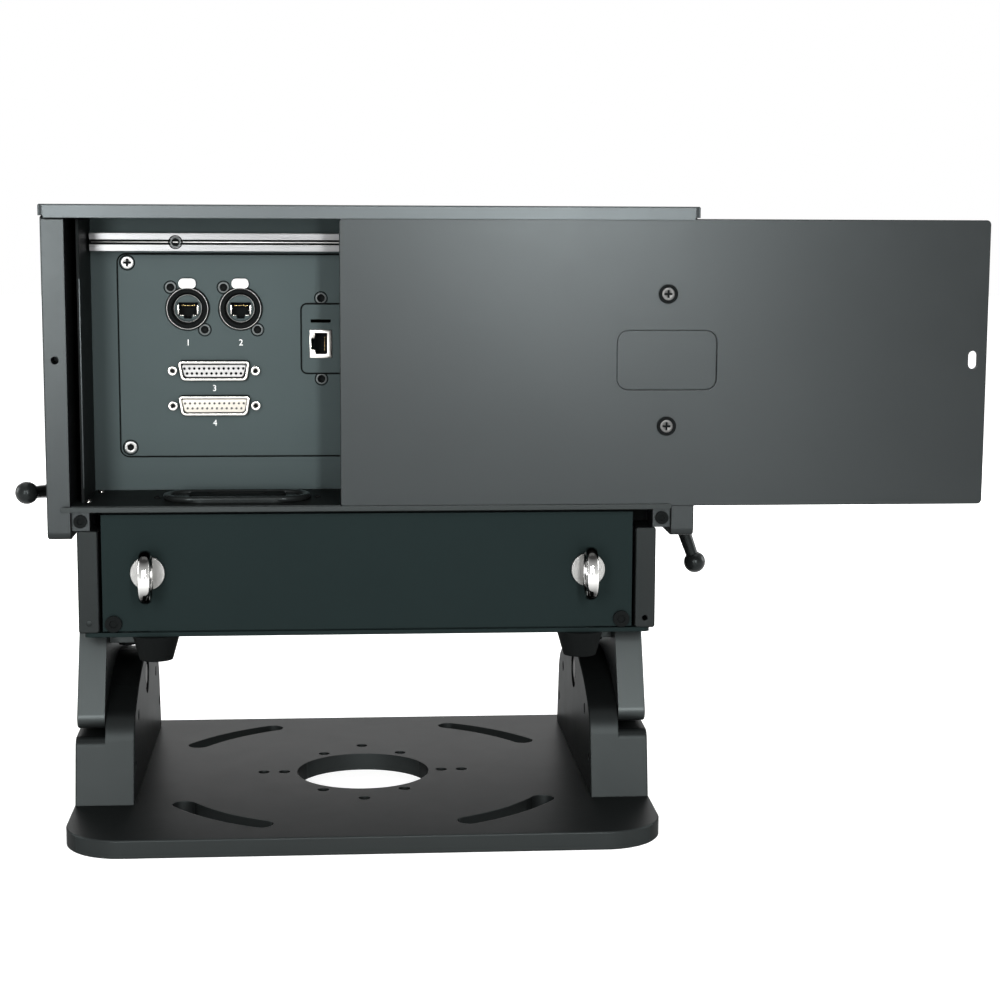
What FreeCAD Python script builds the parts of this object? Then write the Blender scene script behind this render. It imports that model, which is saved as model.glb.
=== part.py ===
import FreeCAD, Part
import math
import os

# Laser show projector, rear side facing -Y, in millimetres.
# The origin is the centre of the base plate's centre hole, on the plate's underside.

# Clearances and small finishes
gap = 0.3
running = 0.05
screw_gap = 0.3
soft_edge = 0.6
past = 1.0
round_margin = 0.01
weld = 0.1

# Screw drives, as shares of the head's radius and thickness
cross_long_share = 0.58
cross_short_share = 0.14
hex_share = 0.5
drive_depth_share = 0.55

# Base plate
plate_w = 320.0
plate_d = 262.0
plate_t = 10.0
plate_corner_r = 32.0
centre_hole_r = 38.5
inner_circle_pcd = 92.0
inner_circle_count = 6
outer_circle_pcd = 116.0
outer_circle_count = 4
circle_hole_r = 3.3
slot_radius = 119.0
slot_w = 13.0
slot_from_deg = 33.0
slot_to_deg = 62.0

# Base brackets, screwed to the plate from below
bracket_edge_gap = 0.5
bracket_w = 32.5
bracket_outer_w = 16.3
bracket_x1 = plate_w / 2 - bracket_edge_gap
bracket_x0 = bracket_x1 - bracket_w
bracket_lap = bracket_x1 - bracket_outer_w
bracket_mid_y = 26.0
bracket_d = 182.0
bracket_y0 = bracket_mid_y - bracket_d / 2
bracket_y1 = bracket_mid_y + bracket_d / 2
rake = 0.21
step_up = 36.5
step_z = plate_t + step_up
step_mid_up = 1.5
step_mid_z = step_z + step_mid_up
step_round = 6.0
dome_start_up = 44.0
dome_start_z = plate_t + dome_start_up
dome_h = 24.0
dome_top_z = dome_start_z + dome_h
dome_round = 22.0
index_hole_r = 3.2
index_hole_depth = 8.0
index_holes = ((57.0, 43.0), (79.0, 19.0))
bracket_screw_r = 3.9
bracket_screw_len = 22.0
bracket_screw_head_r = 6.5
bracket_screw_head_t = 5.0
bracket_screw_sunk = 0.5
bracket_screw_spread = 71.0

# Tilt pivot
pivot_y = bracket_mid_y
pivot_up = 54.0
pivot_z = plate_t + pivot_up
pivot_r = 6.0
pivot_head_r = 11.0
pivot_head_t = 4.0
pivot_drive_r = 4.0
pivot_drive_depth = 2.5
pivot_nut_r = 10.4
pivot_nut_t = 6.5
pivot_pocket_r = 11.5
pivot_pocket_d = 7.5
pivot_end_gap = 0.5

# Tilting arms
arm_edge_gap = 1.2
arm_x1 = plate_w / 2 - arm_edge_gap
arm_step_gap = 3.8
arm_bottom_z = step_z + arm_step_gap
arm_mid_gap = 2.0
arm_mid_z = step_mid_z + arm_mid_gap
arm_far_rise = 12.2
arm_far_z = arm_mid_z + arm_far_rise
arm_set_back = 7.4
arm_rake = 0.45
arm_round = 6.0
arm_rise = 39.0
arm_flange_t = 11.0
lower_z0 = pivot_z + arm_rise
arm_flange_z = lower_z0 - arm_flange_t
arm_flange_half = 44.0
arm_screw_r = 2.9
arm_screw_len = 18.0
arm_screw_head_r = 5.0
arm_screw_head_t = 3.5
arm_screw_spread = 30.0

# Head: placed a little to the right of the base's middle
head_x = 6.0
rear_y = -65.0
head_d = 250.0
front_y = rear_y + head_d

# Lower housing
lower_shift = 2.6
lower_x = head_x - lower_shift
lower_edge_gap = 0.3
lower_half_w = plate_w / 2 - lower_edge_gap
lower_h = 59.4
side_top_z = lower_z0 + lower_h
lower_rear_in = 8.0
lower_rear = rear_y + lower_rear_in
lower_front_in = 10.0
lower_front = front_y - lower_front_in
cover_t = 2.4
cover_top = lower_z0 + cover_t
cover_inset = 2.7
cover_end_inset = 1.0
cover_corner_r = 3.0
side_t = 11.3
side_round = 1.5
column_hole_r = 1.6
column_hole_up = 5.5
column_hole_depth = 12.0
panel_side_gap = 1.6
panel_t = 3.0
panel_back = 2.0
panel_foot_gap = 0.6
fold_in = 25.5
fold_d = 17.4
fold_t = 2.0
panel_screw_r = 1.9
panel_screw_len = 9.0
panel_screw_head_r = 4.6
panel_screw_head_t = 2.2
panel_screw_in = 6.0
panel_screw_up = 5.0

# Feet
foot_in = 41.3
foot_x = lower_half_w - foot_in
foot_rear_in = 17.0
foot_front_in = 35.0
foot_r_top = 13.2
foot_r_bottom = 9.2
foot_h = 14.0
foot_floor = 5.0
foot_recess_r = 4.6
foot_screw_r = 1.9
foot_screw_len = 9.0
foot_screw_head_r = 4.0
foot_screw_head_t = 2.5
foot_screw_room = 2.5

# Cooling fan and vents in the lower front panel
fan_in = 99.7
fan_x = lower_x + lower_half_w - fan_in
fan_r = 24.0
fan_wall = 2.0
fan_depth = 18.0
fan_corner_r = 4.0
fan_hub_r = 9.5
fan_spoke_w = 3.0
fan_spoke_t = 2.5
fan_spoke_count = 3
fan_axle_r = 2.0
fan_axle_len = 10.0
fan_hub_gap = 0.7
fan_front_gap = 1.5
fan_tip_gap = 1.2
blade_count = 7
blade_t = 1.6
blade_twist_deg = 35.0
vent_in = 49.7
vent_fan_gap = 24.0
vent_pitch = 16.0
vent_w = 5.0
vent_foot = 12.6
vent_head = 11.6
vent_round = 2.0

# Power supply standing on the bottom cover
supply_in = 29.7
supply_w = 120.0
supply_rear_space = 70.0
supply_y0 = rear_y + supply_rear_space
supply_front_space = 55.0
supply_h = 45.0
supply_corner_r = 2.0

# Safety rings
ring_in = 38.1
ring_x = lower_half_w - ring_in
ring_up = 36.0
ring_z = lower_z0 + ring_up
ring_base_r = 9.3
ring_base_t = 4.0
ring_stud_r = 3.0
ring_stud_len = 8.0
ring_axis_out = 3.2
ring_pin_r = 1.6
ring_lug_wall = 1.0
ring_lug_in = 2.0
ring_lug_t = 3.0
ring_half_h = 14.8
ring_reach = 21.0
ring_band = 5.6
ring_wire = 3.6

# Upper housing
wall_overhang = 17.8
wall_t = 12.5
wall_out = lower_half_w + wall_overhang
wall_in = wall_out - wall_t
wall_drop = 4.4
wall_z0 = side_top_z - wall_drop
wall_round = 2.5
wall_foot_round = 4.0
wall_front_in = 4.0
lid_overhang = 0.7
lid_half_w = wall_out + lid_overhang
lid_t = 6.1
lid_corner_r = 3.0
lid_lip_t = 1.2
lid_lip_h = 1.2
lid_lip_in = 3.0
lid_screw_r = 1.9
lid_screw_head_r = 3.8
lid_screw_head_t = 2.2
lid_screw_sunk = 0.2
lid_screw_in = 25.0
block_w = 9.9
block_h = 11.2
block_d = 20.0
block_screw_r = 2.0
block_screw_len = 10.0
block_screw_head_r = 3.6
block_screw_head_t = 2.0
block_screw_up = 5.4

# Shelf, its cable grommet and the stud ends below it
shelf_z0 = side_top_z + block_h
shelf_t = 2.8
shelf_top = shelf_z0 + shelf_t
bay_h = 156.9
lid_z0 = shelf_top + bay_h
shelf_overhang = 4.7
shelf_end_gap = 0.7
shelf_round = 1.2
panel_top_gap = 2.6
panel_top_z = shelf_z0 - panel_top_gap
fan_z = (cover_top + panel_top_z) / 2
grommet_in = 89.0
grommet_x = head_x - wall_in + grommet_in
grommet_rear_in = 38.0
grommet_y = rear_y + grommet_rear_in
grommet_w = 82.0
grommet_d = 46.0
grommet_t = 1.6
grommet_under = 2.0
grommet_flange_x = 10.0
grommet_flange_y = 6.0
seal_w = 50.0
seal_d = 24.0
seal_rim = 2.0
seal_rim_t = 1.0
slit_w = 34.0
slit_d = 9.0
grommet_screw_x = 37.0
grommet_screw_r = 1.5
grommet_screw_len = 8.0
grommet_screw_head_r = 2.8
grommet_screw_head_t = 1.4
stud_domes = ((121.0, 6.0), (66.0, 7.5))
stud_blocks = ((105.0, 18.0), (86.0, 11.0))
stud_rear_in = 20.0
stud_y = rear_y + stud_rear_in
stud_block_d = 14.0
stud_drop = 2.2

# Sliding door, kept between the lid's lip, the shelf's groove and the walls' rear edges
door_overhang = 0.9
door_half_w = lid_half_w + door_overhang
door_t = 2.5
door_y = rear_y + lid_lip_t + gap
door_corner_r = 2.5
door_edge = 0.4
groove_depth = 1.5
door_z0 = shelf_top - groove_depth + gap
door_top_gap = 0.5
door_z1 = lid_z0 - door_top_gap
wall_rear = door_y + door_t + gap
stop_r = 4.0
stop_len = 7.0
stop_gap = 0.2
door_open = wall_in - stop_r - stop_gap
door_x = head_x + door_open
door_mid_up = 1.9
door_mid_z = (door_z0 + door_z1) / 2 + door_mid_up
door_screw_spread = 36.25
door_screw_z = (door_mid_z - door_screw_spread, door_mid_z + door_screw_spread)
door_screw_r = 2.4
door_screw_head_r = 4.4
door_screw_head_t = 1.2
pull_w = 55.4
pull_h = 33.0
pull_z = door_mid_z
pull_depth = 1.5
pull_pad_t = 0.6
pull_corner_r = 6.5
lock_slot_w = 5.2
lock_slot_h = 10.0
lock_x = (wall_in + wall_out) / 2
lock_z = door_mid_z
lock_hole_r = 2.1
lock_hole_depth = 14.0

# Rear bay: liners, back panel and rail
bay_d = 71.5
bay_back = rear_y + bay_d
back_panel_t = 2.0
liner_in = 6.3
liner_t = 1.6
liner_set_back = 18.0
liner_top_gap = 2.0
liner_foot_d = 6.0
rail_top_gap = 9.8
rail_h = 10.0
rail_d = 16.5
rail_end_gap = 1.3
rail_groove_w = 2.8
rail_groove_depth = 2.5
rail_screw_in = 47.8
rail_screw_r = 1.5
rail_screw_len = 8.0
rail_screw_head_r = 2.8
rail_screw_head_t = 2.6
rail_z1 = lid_z0 - rail_top_gap
rail_z0 = rail_z1 - rail_h

# Connector plate
conn_plate_t = 2.0
conn_face = bay_back - conn_plate_t
conn_side_gap = 15.5
conn_half_w = wall_in - liner_in - conn_side_gap
conn_left = head_x - conn_half_w
conn_corner_r = 4.5
conn_rail_gap = 2.3
conn_z1 = rail_z0 - conn_rail_gap
conn_screw_in = 5.2
conn_screw_up = 5.0
conn_screw_down = 4.5
conn_screw_r = 1.9
conn_screw_len = 7.0
conn_screw_head_r = 3.8
conn_screw_head_t = 1.8

# Round locking network sockets
socket_in = 38.8
socket_pitch = 29.9
socket_x = (conn_left + socket_in, conn_left + socket_in + socket_pitch)
socket_down = 30.4
socket_z = conn_z1 - socket_down
socket_flange_w = 26.0
socket_flange_h = 31.0
socket_flange_up = 2.5
socket_flange_t = 2.0
socket_flange_r = 3.0
socket_body_r = 12.2
socket_rim_wall = 3.2
socket_rim_out = 3.0
socket_recess = 5.0
socket_barrel_in = 0.6
socket_depth = 21.0
plug_half_w = 5.9
plug_up = 3.4
plug_down = 4.2
plug_key_half_w = 2.2
plug_key_down = 5.8
plug_depth = 12.0
socket_screw_dx = 9.5
socket_screw_dz = 12.0
socket_screw_r = 1.4
socket_screw_len = 7.0
socket_screw_head_r = 2.4
socket_screw_head_t = 1.2
tab_up = 14.2
tab_r = 2.9
tab_half = 2.0
tab_out = 2.4
tab_in = 1.0
tab_travel = 1.0

# 25-way control ports, two rows of contacts
port_shift = 0.35
port_x = (socket_x[0] + socket_x[1]) / 2 - port_shift
port_drop = 35.3
port_pitch = 20.0
port_out_z = socket_z - port_drop
port_in_z = port_out_z - port_pitch
jack_spacing = 47.04
port_flange_end = 2.98
port_flange_h = 12.5
port_flange_t = 1.0
conn_foot_drop = 1.4
conn_z0 = (shelf_top + port_in_z - port_flange_h / 2) / 2 - conn_foot_drop
port_flange_r = 1.5
shell_out = 5.0
shell_half_w = 20.5
shell_half_h = 5.6
shell_taper = 1.9
shell_wall = 0.7
shell_round = 2.2
insert_gap = 0.9
insert_in = 0.4
contact_pitch = 2.77
contact_row_half = 1.42
upper_contact_count = 13
lower_contact_count = 12
contact_hole_r = 0.62
contact_hole_depth = 3.5
contact_pin_r = 0.5
contact_pin_in = 0.9
port_back_half_w = 22.0
port_back_half_h = 5.2
port_back_d = 12.0
post_r = 2.4
post_len = 4.5
post_bore_r = 1.2
post_bore_depth = 3.5
post_shank_r = 1.5
post_shank_len = 7.0

# Inset plate with a small upright jack, a card slot and the mains inlet
inset_w = 81.2
inset_in = 103.5
inset_x0 = conn_left + inset_in
inset_x1 = inset_x0 + inset_w
inset_t = 1.5
inset_foot_down = 67.0
inset_z0 = conn_z1 - inset_foot_down
inset_head_down = 28.0
inset_z1 = conn_z1 - inset_head_down
inset_corner_r = 3.0
inset_face = conn_face - inset_t
inset_screw_side = 10.9
inset_screw_out = 3.6
jack_in = 5.1
jack_w = 11.3
jack_x0 = inset_x0 + jack_in
jack_x1 = jack_x0 + jack_w
jack_foot_up = 9.2
jack_z0 = inset_z0 + jack_foot_up
jack_head_up = 23.9
jack_z1 = inset_z0 + jack_head_up
jack_d = 14.0
jack_rim = 0.7
jack_wall = 2.2
jack_floor = 2.2
jack_key_in = 5.0
jack_key_wall = 0.8
jack_key_up = 4.1
jack_mouth_d = 10.0
card_slot_up = 5.7
card_slot_half = 0.9
jack_room = 1.0
inlet_in = 25.6
inlet_x = inset_x1 - inlet_in
inlet_up = 19.6
inlet_z = inset_z0 + inlet_up
inlet_r = 12.5
inlet_rim = 2.5
inlet_rim_t = 2.0
inlet_wall = 1.7
inlet_d = 22.0
inlet_depth = 14.0
inlet_pin_circle = 5.2
inlet_pin_half_w = 0.8
inlet_pin_half_h = 1.8
inlet_pin_in = 3.0

# Clamp levers
lever_rear_in = 100.0
lever_y = rear_y + lever_rear_in
lever_z = shelf_z0
lever_hub_r = 8.0
lever_hub_l = 10.0
lever_hub_gap = 0.4
lever_len = 49.7
lever_lean_deg = 20.0
lever_root_r = 4.8
lever_tip_r = 3.6
lever_root_in = 4.8
lever_ball_r = 6.5
lever_ball_bite = 2.0
lever_cap = 2.0
lever_stud_r = 4.0
lever_stud_in = 1.5
lever_pocket_d = 5.0
lever_pocket_r = 15.0
lever_flange_r = 7.0
lever_flange_t = 3.0
left_lever_turn = -95.0

# Optics deck and the laser parts on it
deck_t = 10.0
deck_y0 = bay_back + back_panel_t
deck_top = shelf_z0 + deck_t
deck_front_in = 10.0
beam_front_in = 45.0
beam_y = front_y - beam_front_in
beam_up = 22.8
beam_z = deck_top + beam_up
module_in = 40.0
module_pitch = 33.0
module_count = 3
module_rear_space = 31.5
module_y0 = deck_y0 + module_rear_space
module_half = 14.0
module_corner_r = 2.0
mirror_half = 8.0
mirror_t = 1.6
scan_x = head_x
scan_rise = 17.0
scan_z = beam_z + scan_rise
scan_left = 14.0
scan_inner = 16.0
scan_right = 34.0
scan_rear = 34.0
scan_rear_t = 24.0
scan_half_d = 12.0
scan_top = 12.0
motor_r = 7.0
motor_len = 36.0
motor_flange_r = 9.5
motor_flange_t = 2.0
motor_front = 10.0
shaft_r = 1.5
shaft_len = 20.0
shaft_in = 14.0
shaft_end_gap = 2.0
plate_half = 5.0
plate_end = 1.0
mirror_plate_t = 1.4
second_plate_len = 21.0
board_in = 15.0
board_w = 80.0
board_d = 70.0
board_t = 1.6
board_up = 6.0
pillar_r = 3.0
pillar_in = 5.0
chips = ((15.0, 10.0, 30.0, 25.0, 4.4), (50.0, 35.0, 18.0, 28.0, 14.4))

# Upper front panel and output window
front_panel_t = 4.0
front_panel_in = 8.0
front_panel_y = front_y - front_panel_in
front_panel_up = 2.0
window_w = 110.0
window_h = 60.0
window_z = scan_z
window_corner_r = 5.0
window_frame_w = 8.0
window_frame_in = 3.0
window_frame_t = 4.0
window_frame_r = 9.0
window_glass_t = 3.2

X_AXIS = FreeCAD.Vector(1, 0, 0)
Y_AXIS = FreeCAD.Vector(0, 1, 0)
Z_AXIS = FreeCAD.Vector(0, 0, 1)
SIDES = (-1, 1)


def vec(x, y, z):
    return FreeCAD.Vector(x, y, z)


def box(x0, x1, y0, y1, z0, z1):
    return Part.makeBox(x1 - x0, y1 - y0, z1 - z0, vec(x0, y0, z0))


def cylinder(x, y, z, r, length, axis):
    return Part.makeCylinder(r, length, vec(x, y, z), axis)


def x_hole(y, z, r, x0, x1):
    """Tool for a round hole along X that runs a little past both ends."""
    return cylinder(x0 - past, y, z, r, x1 - x0 + 2 * past, X_AXIS)


def y_hole(x, z, r, y0, y1):
    return cylinder(x, y0 - past, z, r, y1 - y0 + 2 * past, Y_AXIS)


def z_hole(x, y, r, z0, z1):
    return cylinder(x, y, z0 - past, r, z1 - z0 + 2 * past, Z_AXIS)


def parallel_edges(shape, axis):
    found = []
    for edge in shape.Edges:
        ends = edge.Vertexes
        if len(ends) != 2:
            continue
        run = ends[1].Point - ends[0].Point
        if run.Length > 1e-6 and abs(run.dot(axis)) > 0.999 * run.Length:
            found.append(edge)
    return found


def rounded_box(x0, x1, y0, y1, z0, z1, r, axis):
    solid = box(x0, x1, y0, y1, z0, z1)
    return solid.makeFillet(r, parallel_edges(solid, axis))


def oval(x, y, w, d, z0, z1):
    return rounded_box(x - w / 2, x + w / 2, y - d / 2, y + d / 2, z0, z1, d / 2 - round_margin, Z_AXIS)


def round_edges_near(shape, r, points):
    """Round the edges along X that pass through the given points of the side view."""
    picked = []
    for edge in parallel_edges(shape, X_AXIS):
        middle = edge.CenterOfMass
        for y, z in points:
            if math.hypot(middle.y - y, middle.z - z) < past:
                picked.append(edge)
                break
    return shape.makeFillet(r, picked)


def soften_face(shape, axis, place, size):
    """Chamfer the outline of the flat face that lies square to an axis at the given place."""
    picked = []
    for edge in shape.Edges:
        spread = edge.BoundBox
        low = vec(spread.XMin, spread.YMin, spread.ZMin).dot(axis)
        high = vec(spread.XMax, spread.YMax, spread.ZMax).dot(axis)
        if abs(low - place) < 1e-4 and abs(high - place) < 1e-4:
            picked.append(edge)
    return shape.makeChamfer(size, picked)


def side_profile(edges, x0, x1):
    solid = Part.Face(Part.Wire(edges)).extrude(vec(x1 - x0, 0, 0))
    solid.translate(vec(x0, 0, 0))
    return solid


def line(a, b):
    return Part.makeLine(vec(0, a[0], a[1]), vec(0, b[0], b[1]))


def arc(a, b, c):
    return Part.Arc(vec(0, a[0], a[1]), vec(0, b[0], b[1]), vec(0, c[0], c[1])).toShape()


def mirrored(shape, about_x):
    return shape.mirror(vec(about_x, 0, 0), X_AXIS)


def fuse(first, others):
    return first.multiFuse(others).removeSplitter()


def compound(shapes):
    return Part.makeCompound(shapes)


def drive_recess(start, axis, head_r, depth, kind):
    """Cross or hexagon recess in a screw head, sunk along the axis from its top."""
    across = X_AXIS if abs(axis.dot(X_AXIS)) < 0.5 else Y_AXIS
    up = axis.cross(across)
    if kind == "cross":
        bars = []
        for one, two in ((across, up), (up, across)):
            long_half = one * (head_r * cross_long_share)
            short_half = two * (head_r * cross_short_share)
            corners = [
                start - long_half - short_half, start + long_half - short_half,
                start + long_half + short_half, start - long_half + short_half,
                start - long_half - short_half,
            ]
            bars.append(Part.Face(Part.makePolygon(corners)).extrude(axis * depth))
        return bars[0].fuse(bars[1])
    corners = []
    for i in range(7):
        turn = math.radians(60 * i)
        corners.append(start + (across * math.cos(turn) + up * math.sin(turn)) * (head_r * hex_share))
    return Part.Face(Part.makePolygon(corners)).extrude(axis * depth)


def screw(x, y, z, r, length, head_r, head_t, axis, kind="hex"):
    """Screw whose head stands on the given point, with its shank running along the axis."""
    shank = cylinder(x, y, z, r, length, axis)
    top = vec(x, y, z) - axis * head_t
    head = Part.makeCylinder(head_r, head_t, top, axis)
    recess = drive_recess(top, axis, head_r, head_t * drive_depth_share, kind)
    return shank.fuse(head).removeSplitter().cut(recess)


nodes = {}
housing_screws = []
bay_screws = []


# Base plate: bolt circles, curved slots, and counterbores for the bracket screws
def curved_slot(from_deg, to_deg):
    length = plate_t + 2 * past
    low = vec(0, 0, -past)
    outer = Part.makeCylinder(slot_radius + slot_w / 2, length, low, Z_AXIS, to_deg - from_deg)
    inner = Part.makeCylinder(slot_radius - slot_w / 2, length, low, Z_AXIS, to_deg - from_deg)
    sector = outer.cut(inner)
    sector.rotate(vec(0, 0, 0), Z_AXIS, from_deg)
    ends = []
    for angle in (from_deg, to_deg):
        turn = math.radians(angle)
        end_x = slot_radius * math.cos(turn)
        end_y = slot_radius * math.sin(turn)
        ends.append(z_hole(end_x, end_y, slot_w / 2, 0, plate_t))
    return sector.multiFuse(ends)


bracket_screw_x = (bracket_x0 + bracket_x1) / 2
bracket_screw_y = (bracket_mid_y - bracket_screw_spread, bracket_mid_y, bracket_mid_y + bracket_screw_spread)
bracket_screw_seat = bracket_screw_head_t + bracket_screw_sunk


def make_base_plate():
    plate = rounded_box(
        -plate_w / 2, plate_w / 2, -plate_d / 2, plate_d / 2, 0, plate_t, plate_corner_r, Z_AXIS
    )
    plate = soften_face(plate, Z_AXIS, plate_t, soft_edge)
    plate = soften_face(plate, Z_AXIS, 0, soft_edge)
    holes = [z_hole(0, 0, centre_hole_r, 0, plate_t)]
    circles = ((inner_circle_pcd, inner_circle_count), (outer_circle_pcd, outer_circle_count))
    for pcd, count in circles:
        for i in range(count):
            turn = 2 * math.pi * i / count
            hole_x = pcd / 2 * math.cos(turn)
            hole_y = pcd / 2 * math.sin(turn)
            holes.append(z_hole(hole_x, hole_y, circle_hole_r, 0, plate_t))
    span = slot_to_deg - slot_from_deg
    for start in (slot_from_deg, 180 - slot_to_deg, 180 + slot_from_deg, 360 - slot_to_deg):
        holes.append(curved_slot(start, start + span))
    for side in SIDES:
        for y in bracket_screw_y:
            x = side * bracket_screw_x
            holes.append(z_hole(x, y, bracket_screw_r + screw_gap, 0, plate_t))
            holes.append(z_hole(x, y, bracket_screw_head_r + screw_gap, 0, bracket_screw_seat - past))
    return plate.cut(holes)


def make_bracket_screws():
    screws = []
    for side in SIDES:
        for y in bracket_screw_y:
            screws.append(
                screw(
                    side * bracket_screw_x, y, bracket_screw_seat, bracket_screw_r, bracket_screw_len,
                    bracket_screw_head_r, bracket_screw_head_t, Z_AXIS
                )
            )
    return compound(screws)


nodes["base_plate"] = make_base_plate()
nodes["bracket_screws"] = make_bracket_screws()


# Brackets: the inner half rises to a dome, the outer half stops at a step
def raked_front(z):
    return (bracket_y0 + rake * (z - plate_t), z)


def raked_rear(z):
    return (bracket_y1 - rake * (z - plate_t), z)


def raked_half(low_z, high_z, high_mid_z, corner_r, x0, x1):
    """Slab with raked ends and an arched top, its two upper corners rounded."""
    solid = side_profile(
        [
            line(raked_front(low_z), raked_rear(low_z)),
            line(raked_rear(low_z), raked_rear(high_z)),
            arc(raked_rear(high_z), (bracket_mid_y, high_mid_z), raked_front(high_z)),
            line(raked_front(high_z), raked_front(low_z)),
        ],
        x0, x1,
    )
    return round_edges_near(solid, corner_r, [raked_front(high_z), raked_rear(high_z)])


def make_bracket():
    inner = raked_half(plate_t, dome_start_z, dome_top_z, dome_round, bracket_x0, bracket_lap)
    inner = soften_face(inner, X_AXIS, bracket_x0, soft_edge)
    outer = raked_half(plate_t, step_z, step_mid_z, step_round, bracket_lap, bracket_x1)
    outer = soften_face(outer, X_AXIS, bracket_x1, soft_edge)
    holes = [
        x_hole(pivot_y, pivot_z, pivot_r + running, bracket_x0, bracket_x1),
        x_hole(pivot_y, pivot_z, pivot_pocket_r, bracket_x0, bracket_x0 + pivot_pocket_d - past),
    ]
    for y in bracket_screw_y:
        screw_end = bracket_screw_seat + bracket_screw_len
        holes.append(z_hole(bracket_screw_x, y, bracket_screw_r + screw_gap, plate_t, screw_end))
    for dy, up in index_holes:
        for side in SIDES:
            y = bracket_mid_y + side * dy
            hole_end = bracket_x0 + index_hole_depth - past
            holes.append(x_hole(y, plate_t + up, index_hole_r, bracket_x0, hole_end))
    return fuse(inner, [outer]).cut(holes)


bracket = make_bracket()
nodes["right_base_bracket"] = bracket
nodes["left_base_bracket"] = mirrored(bracket, 0)


# Pivot bolts and their sunk nuts, fixed in the brackets; the arms turn on them
nut_seat = bracket_x0 + pivot_pocket_d


def make_pivot_bolt():
    seat_x = arm_x1 - pivot_head_t
    end_x = bracket_x0 + pivot_end_gap
    shank = cylinder(end_x, pivot_y, pivot_z, pivot_r, seat_x - end_x, X_AXIS)
    head = cylinder(seat_x, pivot_y, pivot_z, pivot_head_r, pivot_head_t, X_AXIS)
    recess = drive_recess(vec(arm_x1, pivot_y, pivot_z), -X_AXIS, 2 * pivot_drive_r, pivot_drive_depth, "hex")
    return shank.fuse(head).removeSplitter().cut(recess)


def make_pivot_nut():
    corners = []
    for i in range(7):
        turn = math.radians(60 * i)
        corners.append(
            vec(nut_seat, pivot_y + pivot_nut_r * math.cos(turn), pivot_z + pivot_nut_r * math.sin(turn))
        )
    nut = Part.Face(Part.makePolygon(corners)).extrude(vec(-pivot_nut_t, 0, 0))
    return nut.cut(x_hole(pivot_y, pivot_z, pivot_r + running, nut_seat - pivot_nut_t, nut_seat))


pivot_bolt = make_pivot_bolt()
pivot_nut = make_pivot_nut()
nodes["pivot_bolts"] = compound(
    [pivot_bolt, mirrored(pivot_bolt, 0), pivot_nut, mirrored(pivot_nut, 0)]
)

# Arms: the outer half laps beside the bracket, a wide flange on top carries the head.
# The lower edge rises towards the far end, which leaves room to tilt the head forwards.
arm_lap = bracket_lap + gap
arm_screw_x = (bracket_x0 + bracket_lap) / 2
arm_screw_y = (pivot_y - arm_screw_spread, pivot_y + arm_screw_spread)


def arm_front(z):
    return (bracket_y0 + arm_set_back + arm_rake * (z - arm_bottom_z), z)


def arm_rear(z):
    return (bracket_y1 - arm_set_back - arm_rake * (z - arm_bottom_z), z)


def make_arm():
    middle = (bracket_mid_y, arm_mid_z)
    skirt = side_profile(
        [
            line(arm_front(lower_z0), arm_rear(lower_z0)),
            line(arm_rear(lower_z0), arm_rear(arm_far_z)),
            line(arm_rear(arm_far_z), middle),
            line(middle, arm_front(arm_bottom_z)),
            line(arm_front(arm_bottom_z), arm_front(lower_z0)),
        ],
        arm_lap, arm_x1,
    )
    skirt = round_edges_near(skirt, arm_round, [arm_front(arm_bottom_z), arm_rear(arm_far_z)])
    skirt = soften_face(skirt, X_AXIS, arm_x1, soft_edge)
    flange = box(
        bracket_x0, arm_lap + past, pivot_y - arm_flange_half, pivot_y + arm_flange_half,
        arm_flange_z, lower_z0
    )
    head_seat = arm_x1 - pivot_head_t - gap
    holes = [
        x_hole(pivot_y, pivot_z, pivot_r + running, arm_lap, arm_x1),
        x_hole(pivot_y, pivot_z, pivot_head_r + gap, head_seat + past, arm_x1),
    ]
    for y in arm_screw_y:
        holes.append(z_hole(arm_screw_x, y, arm_screw_r + screw_gap, arm_flange_z, lower_z0))
    return fuse(skirt, [flange]).cut(holes)


arm = make_arm()
nodes["right_arm"] = arm
nodes["left_arm"] = mirrored(arm, 0)
arm_screws = []
for side in SIDES:
    for y in arm_screw_y:
        arm_screws.append(
            screw(
                side * arm_screw_x, y, arm_flange_z, arm_screw_r, arm_screw_len,
                arm_screw_head_r, arm_screw_head_t, Z_AXIS
            )
        )
nodes["arm_screws"] = compound(arm_screws)

# Lower housing: bottom cover, side plates, rear and front panels
foot_places = []
for side in SIDES:
    for y in (rear_y + foot_rear_in, front_y - foot_front_in):
        foot_places.append((lower_x + side * foot_x, y))


def make_bottom_cover():
    half_w = lower_half_w - cover_inset
    cover = rounded_box(
        lower_x - half_w, lower_x + half_w, lower_rear + cover_end_inset, lower_front - cover_end_inset,
        lower_z0, cover_top, cover_corner_r, Z_AXIS
    )
    holes = []
    for side in SIDES:
        for y in arm_screw_y:
            holes.append(z_hole(side * arm_screw_x, y, arm_screw_r + screw_gap, lower_z0, cover_top))
    for x, y in foot_places:
        holes.append(z_hole(x, y, foot_screw_r + screw_gap, lower_z0, cover_top))
    return cover.cut(holes)


def make_side_plate():
    plate = rounded_box(
        lower_x + lower_half_w - side_t, lower_x + lower_half_w, lower_rear, lower_front,
        cover_top, side_top_z, side_round, Y_AXIS
    )
    plate = soften_face(plate, Y_AXIS, lower_rear, soft_edge)
    column_x = lower_x + lower_half_w - side_t / 2
    hole_end = lower_rear + column_hole_depth - past
    return plate.cut(y_hole(column_x, cover_top + column_hole_up, column_hole_r, lower_rear, hole_end))


nodes["bottom_cover"] = make_bottom_cover()
side_plate = make_side_plate()
nodes["lower_right_side"] = side_plate
nodes["lower_left_side"] = mirrored(side_plate, lower_x)

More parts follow.
